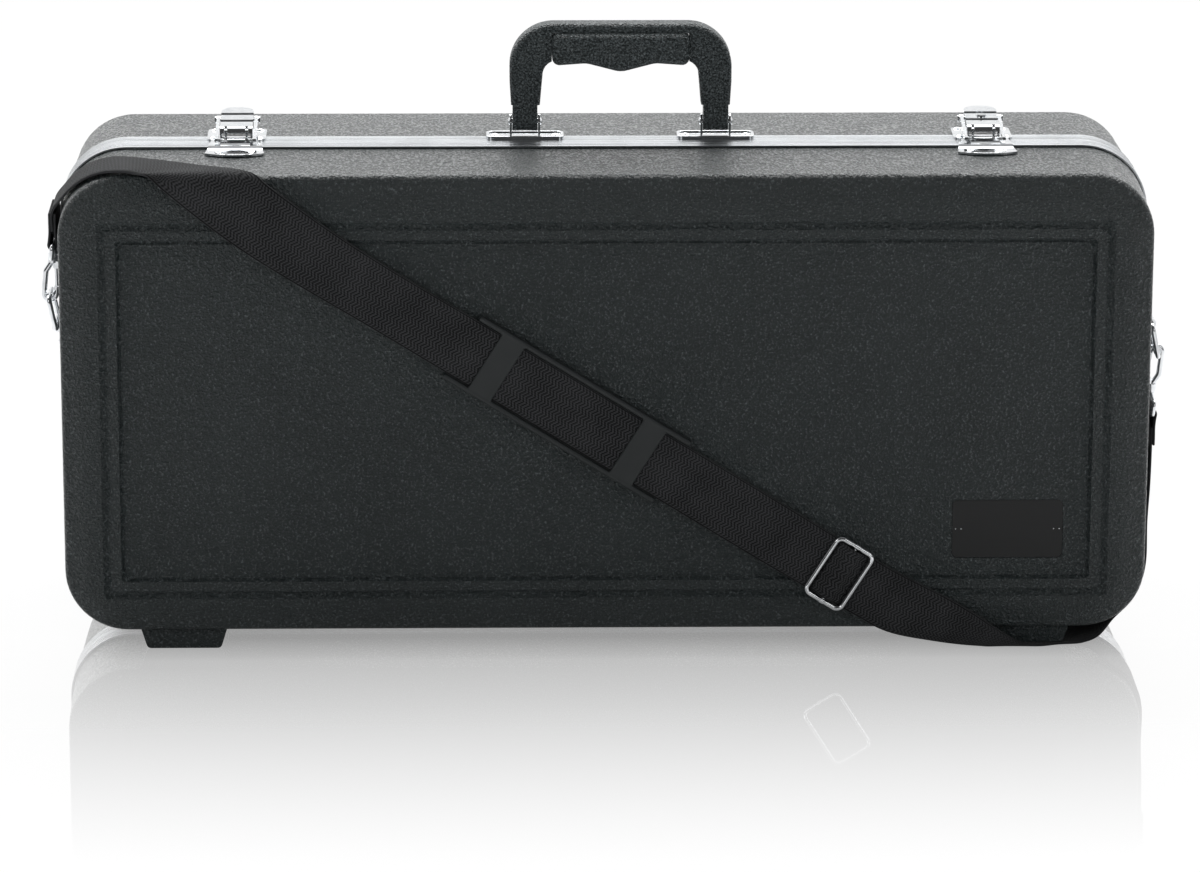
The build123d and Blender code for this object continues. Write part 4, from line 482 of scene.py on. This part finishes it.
# From the left eye over the top left corner, down the face, and under the lower right corner to the right eye
ROUTE = [
    side_rung(-EYE_X, EYE_LEFT_Z + FOLD_START, RING_Y, 1),
    side_rung(-EYE_X, EYE_LEFT_Z + FOLD_END, RING_Y - 1, 1),
    corner_rung(-1, 60, CORNER_TURN + 0.5, RING_Y - 9), corner_rung(-1, 45, CORNER_TURN, RING_Y - 15),
    corner_rung(-1, 30, CORNER_TURN, RING_Y - 20), corner_rung(-1, 15, CORNER_TURN, RING_Y - 24),
    corner_rung(-1, 0, CORNER_TURN, RING_Y - 27),
    top_rung((49.0, 2.5, 0.1), (87.0, 22.0, -0.3)), top_rung((57.0, 0.0, 1.9), (120.0, 2.6, 0.3)),
    top_rung((64.0, BACK, 7.9), (129.0, BACK, 6.4)),
    face_rung(255.0), face_rung(200.0), face_rung(150.0), face_rung(100.0), face_rung(52.0),
    low_rung((182.0, BACK, 24.0), (120.0, BACK, 32.0)), low_rung((160.0, -0.4, 11.6), (104.0, -1.6, 22.0)),
    low_rung((132.0, 1.5, 5.0), (91.0, -0.8, 12.5)), low_rung((110.0, 3.4, 1.6), (81.0, 0.0, 6.0)),
    low_rung((96.0, 4.0, FLOOR), (73.0, 1.5, 2.0)), low_rung((89.0, 9.0, FLOOR), (64.0, 3.8, FLOOR)),
    low_rung((76.0, 30.0, FLOOR), (53.0, 7.0, FLOOR)), low_rung((50.5, 38.0, FLOOR), (38.0, 9.0, 1.2)),
    low_rung((36.0, 42.0, 3.2), (29.0, 8.0, 5.5)),
    corner_rung(1, 30, CORNER_TURN + 0.3, RING_Y - 18), corner_rung(1, 48, CORNER_TURN, RING_Y - 13),
    corner_rung(1, 66, CORNER_TURN, RING_Y - 9), corner_rung(1, 84, CORNER_TURN, RING_Y - 6),
    side_rung(EYE_X - 1.8, CORNER_LOW_Z + 22, RING_Y - 3, -1),
    side_rung(EYE_X - 0.5, CORNER_LOW_Z + 45, RING_Y - 1, -1),
    side_rung(EYE_X, EYE_RIGHT_Z - FOLD_END, RING_Y, -1),
    side_rung(EYE_X, EYE_RIGHT_Z - FOLD_START, RING_Y, -1),
]


def sewn_fold(side, way, eye_z, label):
    """Doubled end of the webbing, round the eye of its snap hook."""
    leg = [(SHOULDER_OUT, SHOULDER_ALONG)] + [(LAYER_OUT, w) for w in (LOOP_NECK, LOOP_MIDDLE, LOOP_LEG)]
    turns = [radians(angle) for angle in range(180, 361, 45)]
    bend = [(BEND_OUT * cos(turn), BEND_OUT * sin(turn)) for turn in turns]
    outline = [(-u, w) for u, w in reversed(leg)] + bend + leg
    rungs = [side_rung(side * (EYE_X + u), eye_z + way * w, RING_Y, way) for u, w in outline]
    woven_band(f"webbing_fold_{label}", rungs, STRAP_GAUGE, WEBBING, "lid", f"strap_end_{label}", pitch=1.2)


def on_strap(along, across, height):
    """Point over the slanting run, in millimetres along it, across it and out from its back."""
    c, n = cos(STRAP_ANGLE), sin(STRAP_ANGLE)
    x, z = STRAP_MID_X + along * c + across * n, STRAP_MID_Z - along * n + across * c
    return Vector((x, FRONT_Y - STRAP_LIFT - height, z))


def slider_webbing():
    """Webbing that bows up over the slider's bar."""
    rise = [
        (-9.5, SLIDER_LOW), (-8.0, SLIDER_LOW), (-6.2, SLIDER_LOW + 0.5),
        (-4.3, (SLIDER_LOW + SLIDER_HIGH) / 2), (-2.6, SLIDER_HIGH - 0.1), (0.0, SLIDER_HIGH),
    ]
    bow = rise + [(-u, h) for u, h in reversed(rise[:-1])]
    rungs = [[on_strap(SLIDER_ALONG + u, v, h) for v in (-SLIDER_REACH, SLIDER_REACH)] for u, h in bow]
    woven_band("slider_webbing", rungs, STRAP_GAUGE, WEBBING, "lid", "strap_slider_loop", pitch=1.0)


def grow(form, centre, size, edge):
    """Add a slab with rounded edges to a bmesh."""
    spot = Matrix.Translation(Vector(centre) * MM) @ Matrix.Diagonal((*(Vector(size) * MM), 1.0))
    made = bmesh.ops.create_cube(form, size=1.0, matrix=spot)["verts"]
    edges = list({link for vert in made for link in vert.link_edges})
    bmesh.ops.bevel(form, geom=edges, offset=edge * MM, offset_type="OFFSET", segments=3, profile=0.5,
                    affect="EDGES", material=-1)


def skin(made, voxel):
    """Join a mesh's solids into one skin and ease its edges."""
    remesh = made.modifiers.new("skin", "REMESH")
    remesh.mode, remesh.voxel_size, remesh.use_smooth_shade = "VOXEL", voxel * MM, True
    ease = made.modifiers.new("ease", "SMOOTH")
    ease.factor, ease.iterations = 0.5, 3
    apply(made)


# Shoulder pad: heights are from the back of the strap, places from the pad's middle
PAD_LENGTH, PAD_LOW, PAD_HIGH, PAD_FLOOR, PAD_VOXEL = 151.0, -1.9, 3.4, 1.6, 0.6
RAIL_MID, RAIL, RAIL_ROUND = 21.1, 3.6, 1.3
BAR_AT, BAR, BAR_LOW, BAR_HIGH, SLAB_ROUND = 50.5, 16.0, 1.8, 3.2, 0.5


def pad_moulding():
    """Shoulder pad's moulding: a floor, two rails beside the webbing and two bars over it."""
    form = bmesh.new()
    grow(form, (0, 0, PAD_LOW + PAD_FLOOR / 2), (PAD_LENGTH, 2 * RAIL_MID + RAIL, PAD_FLOOR), SLAB_ROUND)
    for side in (-1, 1):
        rail_place = (0, side * RAIL_MID, (PAD_LOW + PAD_HIGH) / 2)
        grow(form, rail_place, (PAD_LENGTH, RAIL, PAD_HIGH - PAD_LOW), RAIL_ROUND)
        bar_place = (side * BAR_AT, 0, (BAR_LOW + BAR_HIGH) / 2)
        grow(form, bar_place, (BAR, 2 * RAIL_MID, BAR_HIGH - BAR_LOW), SLAB_ROUND)
    pad = piece("pad_moulding", form, RUBBER, "lid", "shoulder_pad", slot="pad_rubber")
    skin(pad, PAD_VOXEL)
    pad.data.transform(Matrix((
        (cos(STRAP_ANGLE), sin(STRAP_ANGLE), 0, STRAP_MID_X * MM),
        (0, 0, -1, (FRONT_Y - STRAP_LIFT) * MM),
        (-sin(STRAP_ANGLE), cos(STRAP_ANGLE), 0, STRAP_MID_Z * MM),
        (0, 0, 0, 1),
    )))
    pad.data.update()


# Linings: the detail of a skin, how far its pile sinks, and how many soft swells it has to the metre
LINING_VOXEL, LINING_SINK, PANEL_VOXEL, PANEL_SINK = 4.0, 0.9, 1.3, 0.15
SWELLS_PER_METRE = 28


def upholstered(name, node, body, voxel, sink):
    """Pile-covered foam in the place of a CAD lining, with a soft hand in its surface."""
    form = bmesh.new()
    form.from_mesh(nodes[node].data)
    bmesh.ops.remove_doubles(form, verts=form.verts, dist=1e-6)
    made = piece(name, form, PLUSH, body, node, slot="plush")
    skin(made, voxel)
    normals = [vert.normal.copy() for vert in made.data.vertices]
    for vert, normal in zip(made.data.vertices, normals):
        swell = noise.noise(vert.co * SWELLS_PER_METRE) * 0.5 + 0.5
        vert.co -= normal * swell * sink * MM
    made.data.update()


def pull_ribbon():
    """Ribbon that hangs on the accessory box's panel."""
    low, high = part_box("accessory_lid_ribbon")
    x0, x1, y_mid = low[0] / MM, high[0] / MM, (low[1] + high[1]) / 2 / MM
    top, drop = high[2] / MM, (high[2] - low[2]) / MM
    rungs = [((x0, y_mid, top - drop * t), (x1, y_mid, top - drop * t)) for t in (0, 0.25, 0.5, 0.75, 1)]
    gauge = (high[1] - low[1]) / MM
    woven_band("box_ribbon", rungs, gauge, RIBBON, "box_lid", "accessory_lid_ribbon",
               across=6, pitch=2.0, rests=("accessory_box_lid",))


def stitches(name, spots, finish, body, length, gauge, slot):
    """Short rounded stitches, each at a point, along a direction, in millimetres."""
    form = bmesh.new()
    for point, along, out in spots:
        along, out = Vector(along).normalized(), Vector(out).normalized()
        turn = Matrix((along, out.cross(along), out)).transposed().to_4x4()
        size = Matrix.Diagonal((length * MM, gauge * MM, gauge * MM, 1.0))
        spot = Matrix.Translation(Vector(point) * MM) @ turn @ size
        bmesh.ops.create_uvsphere(form, u_segments=6, v_segments=4, radius=0.5, matrix=spot)
    piece(name, form, finish, body, slot=slot)


def stepped(points, pitch):
    """Evenly spaced points and directions along a polyline."""
    found, spare = [], pitch / 2
    for start, end in zip(points, points[1:]):
        run = end - start
        while spare < run.length:
            found.append((start + run.normalized() * spare, run.normalized()))
            spare += pitch
        spare -= run.length
    return found


# Handle, its outer seam and the inner seam of each leg, from foot to top
HANDLE_X, HANDLE_Y, HANDLE_TOP, HANDLE_HALF, HANDLE_TURN, HANDLE_THICK = 10.0, 7.4, 373.0, 68.0, 27.0, 15.0
SEAM, SEAM_SPLAY, SEAM_FOOT_Z = 3.1, 1.2, 319
INNER_FOOT, INNER_TOP, INNER_TOP_Z = 53.6, 50.3, 342

# Stitches: how far apart, how long, how thick and how far sunk
MOULDED_PITCH, MOULDED_LENGTH, MOULDED_GAUGE, MOULDED_SINK = 3.6, 2.2, 1.1, 0.05
SEWN_PITCH, SEWN_LENGTH, SEWN_GAUGE, SEWN_SINK = 2.9, 2.0, 0.5, 0.03


def mirrored(points):
    """The same points on the handle's other leg."""
    return [Vector((2 * HANDLE_X - point.x, 0, point.z)) for point in points]


def handle_stitches():
    """Moulded stitches inside the handle's outer edge and up the inner edge of each leg, on both faces."""
    left, bend_z = HANDLE_X - HANDLE_HALF, HANDLE_TOP - HANDLE_TURN
    round_by = HANDLE_TURN - SEAM
    rim = [Vector((left + SEAM + SEAM_SPLAY, 0, SEAM_FOOT_Z)), Vector((left + SEAM, 0, bend_z))]
    for angle in range(10, 91, 10):
        turn = radians(angle)
        rim.append(Vector((left + HANDLE_TURN - round_by * cos(turn), 0, bend_z + round_by * sin(turn))))
    rim += mirrored(reversed(rim))
    inner = [Vector((HANDLE_X - INNER_FOOT, 0, SEAM_FOOT_Z)), Vector((HANDLE_X - INNER_TOP, 0, INNER_TOP_Z))]
    spots = []
    for line in (rim, inner, mirrored(inner)):
        for point, along in stepped(line, MOULDED_PITCH):
            for face in (-1, 1):
                to_face = Vector((0, HANDLE_Y + face * (HANDLE_THICK / 2 - MOULDED_SINK), 0))
                spots.append((point + to_face, along, (0, face, 0)))
    stitches("handle_stitches", spots, MOULDING, "handle", MOULDED_LENGTH, MOULDED_GAUGE, "handle_plastic")


# Box of stitches on a sewn end: half its width, and where it starts and ends
BOX_HALF, BOX_FROM, BOX_TO = 15, 10, 18.5


def fold_stitches(side, way, eye_z, label):
    """Box of stitches that closes a doubled end of the webbing."""
    x = side * (EYE_X + LAYER_OUT + STRAP_GAUGE / 2 - SEWN_SINK)
    corners = [(-BOX_HALF, BOX_FROM), (BOX_HALF, BOX_FROM), (BOX_HALF, BOX_TO), (-BOX_HALF, BOX_TO)]
    seam = [Vector((x, RING_Y + y, eye_z + way * w)) for y, w in corners + corners[:1]]
    spots = [(point, along, (side, 0, 0)) for point, along in stepped(seam, SEWN_PITCH)]
    stitches(f"fold_stitches_{label}", spots, THREAD, "lid", SEWN_LENGTH, SEWN_GAUGE, "webbing")


woven_band("shoulder_webbing", ROUTE, STRAP_GAUGE, WEBBING, "lid", "strap_webbing", "strap_lower_run")
for end in ENDS:
    sewn_fold(*end)
slider_webbing()
pad_moulding()
upholstered("base_upholstery", "rear_liner", "base", LINING_VOXEL, LINING_SINK)
upholstered("lid_upholstery", "front_liner", "lid", LINING_VOXEL, LINING_SINK)
upholstered("box_panel", "accessory_box_lid", "box_lid", PANEL_VOXEL, PANEL_SINK)
pull_ribbon()
handle_stitches()
for end in ENDS:
    fold_stitches(*end)

# Camera, lights and floor

# Camera, in metres, with its lens and sensor in millimetres
CAMERA_PLACE, LENS, SENSOR = (-0.082, -3.3941, 1.0726), 169.97, 36.0
CAMERA_DOWN, CAMERA_RIGHT, CAMERA_ROLL = radians(15.8), radians(1.35), radians(0.17)


def camera():
    """Camera at the photograph's viewing angle."""
    made = bpy.data.objects.new("camera", bpy.data.cameras.new("camera"))
    scene.collection.objects.link(made)
    made.data.lens, made.data.sensor_width = LENS, SENSOR
    made.data.clip_start, made.data.clip_end = 0.1, 60.0
    made.matrix_world = (
        Matrix.Translation(CAMERA_PLACE)
        @ Matrix.Rotation(-CAMERA_RIGHT, 4, "Z") @ Matrix.Rotation(radians(90) - CAMERA_DOWN, 4, "X")
        @ Matrix.Rotation(CAMERA_ROLL, 4, "Z")
    )
    scene.camera = made


def softbox(name, place, aim, size, power):
    """Rectangular lamp at a place, turned to its aim, in metres and watts."""
    lamp = bpy.data.lights.new(name, "AREA")
    lamp.shape, lamp.size, lamp.size_y, lamp.energy = "RECTANGLE", size[0], size[1], power
    lit = bpy.data.objects.new(name, lamp)
    scene.collection.objects.link(lit)
    lit.location = place
    lit.rotation_euler = (Vector(aim) - Vector(place)).to_track_quat("-Z", "Y").to_euler()


# Strength of the world: as mirrored behind the camera and behind the case, and as soft light
SKY_DIM, SKY_BRIGHT, SKY_SOFT = 0.05, 1.0, 0.42


class Sky(Finish):
    """The world's shader, under construction."""

    def __init__(self, world):
        world.use_nodes = True
        self.tree = world.node_tree
        self.shader = self.tree.nodes["Background"]


def studio():
    """The studio round the case: white to the camera, bright behind the case and dim behind the camera."""
    scene.world = bpy.data.worlds.new("studio")
    sky = Sky(scene.world)
    sky.drive(Color=(1, 1, 1, 1))
    _, away, _ = sky.axes(sky.add("ShaderNodeTexCoord", output="Generated"))
    seen = sky.add("ShaderNodeLightPath", output="Is Camera Ray").larger(
        sky.add("ShaderNodeLightPath", output="Is Transmission Ray"))
    glossy = sky.add("ShaderNodeLightPath", output="Is Glossy Ray")
    behind = sky.spread(away, SKY_DIM, SKY_BRIGHT, -0.3, 0.3)
    sky.drive(Strength=seen + (1 - seen) * (glossy * behind + (1 - glossy) * SKY_SOFT))


# Where the floor's mirror fades in, in front of the case and again at its feet, in metres
FLOOR_NEAR_Y, FLOOR_FAR_Y, FEET_NEAR_Y, FEET_FAR_Y = -0.479, -0.096, -0.105, -0.06

# How much the floor mirrors, how fast that fades, how much the feet add, and how much shadow shows
MIRROR_SHARE, MIRROR_FALL, FEET_SHARE, SHADOW_SHARE = 0.44, 1.35, 0.2, 0.12


def floor():
    """White floor that keeps the case's shadow and mirrors the case, less and less towards the camera."""
    form = bmesh.new()
    bmesh.ops.create_grid(form, x_segments=1, y_segments=1, size=6.0)
    mesh = bpy.data.meshes.new("studio_floor")
    form.to_mesh(mesh)
    form.free()
    made = bpy.data.objects.new("studio_floor", mesh)
    scene.collection.objects.link(made)
    f = Finish("studio_floor", Base_Color=(0.88, 0.88, 0.88, 1), Roughness=0.6)
    _, y, _ = f.axes(f.place())
    fading = f.spread(y, 0, 1, FLOOR_NEAR_Y, FLOOR_FAR_Y)
    amount = fading ** MIRROR_FALL * MIRROR_SHARE + f.spread(y, 0, FEET_SHARE, FEET_NEAR_Y, FEET_FAR_Y)
    white = f.add("ShaderNodeEmission", {"Color": (1, 1, 1, 1), "Strength": 1.0})
    mirror = f.add("ShaderNodeBsdfAnisotropic", {"Color": (1, 1, 1, 1), "Roughness": 0.0})
    lit = Field(f, f.shader.outputs[0])
    shaded = f.add("ShaderNodeMixShader", {0: SHADOW_SHARE, 1: white, 2: lit})
    shown = f.add("ShaderNodeMixShader", {0: amount, 1: shaded, 2: mirror})
    camera_ray = f.add("ShaderNodeLightPath", output="Is Camera Ray")
    final = f.add("ShaderNodeMixShader", {0: camera_ray, 1: lit, 2: shown})
    f.feed(f.tree.nodes["Material Output"].inputs["Surface"], final)
    mesh.materials.append(f.material)


camera()
softbox("overhead", (0.0, 1.3, 2.1), (0, 0.1, 0.3), (3.6, 1.6), 95)
softbox("front_left", (-2.2, -2.6, 1.9), (0, 0, 0.2), (1.6, 1.6), 15)
softbox("front_right", (2.4, -2.4, 1.5), (0, 0, 0.2), (1.4, 1.6), 10)
studio()
floor()

scene.view_settings.view_transform = "Standard"
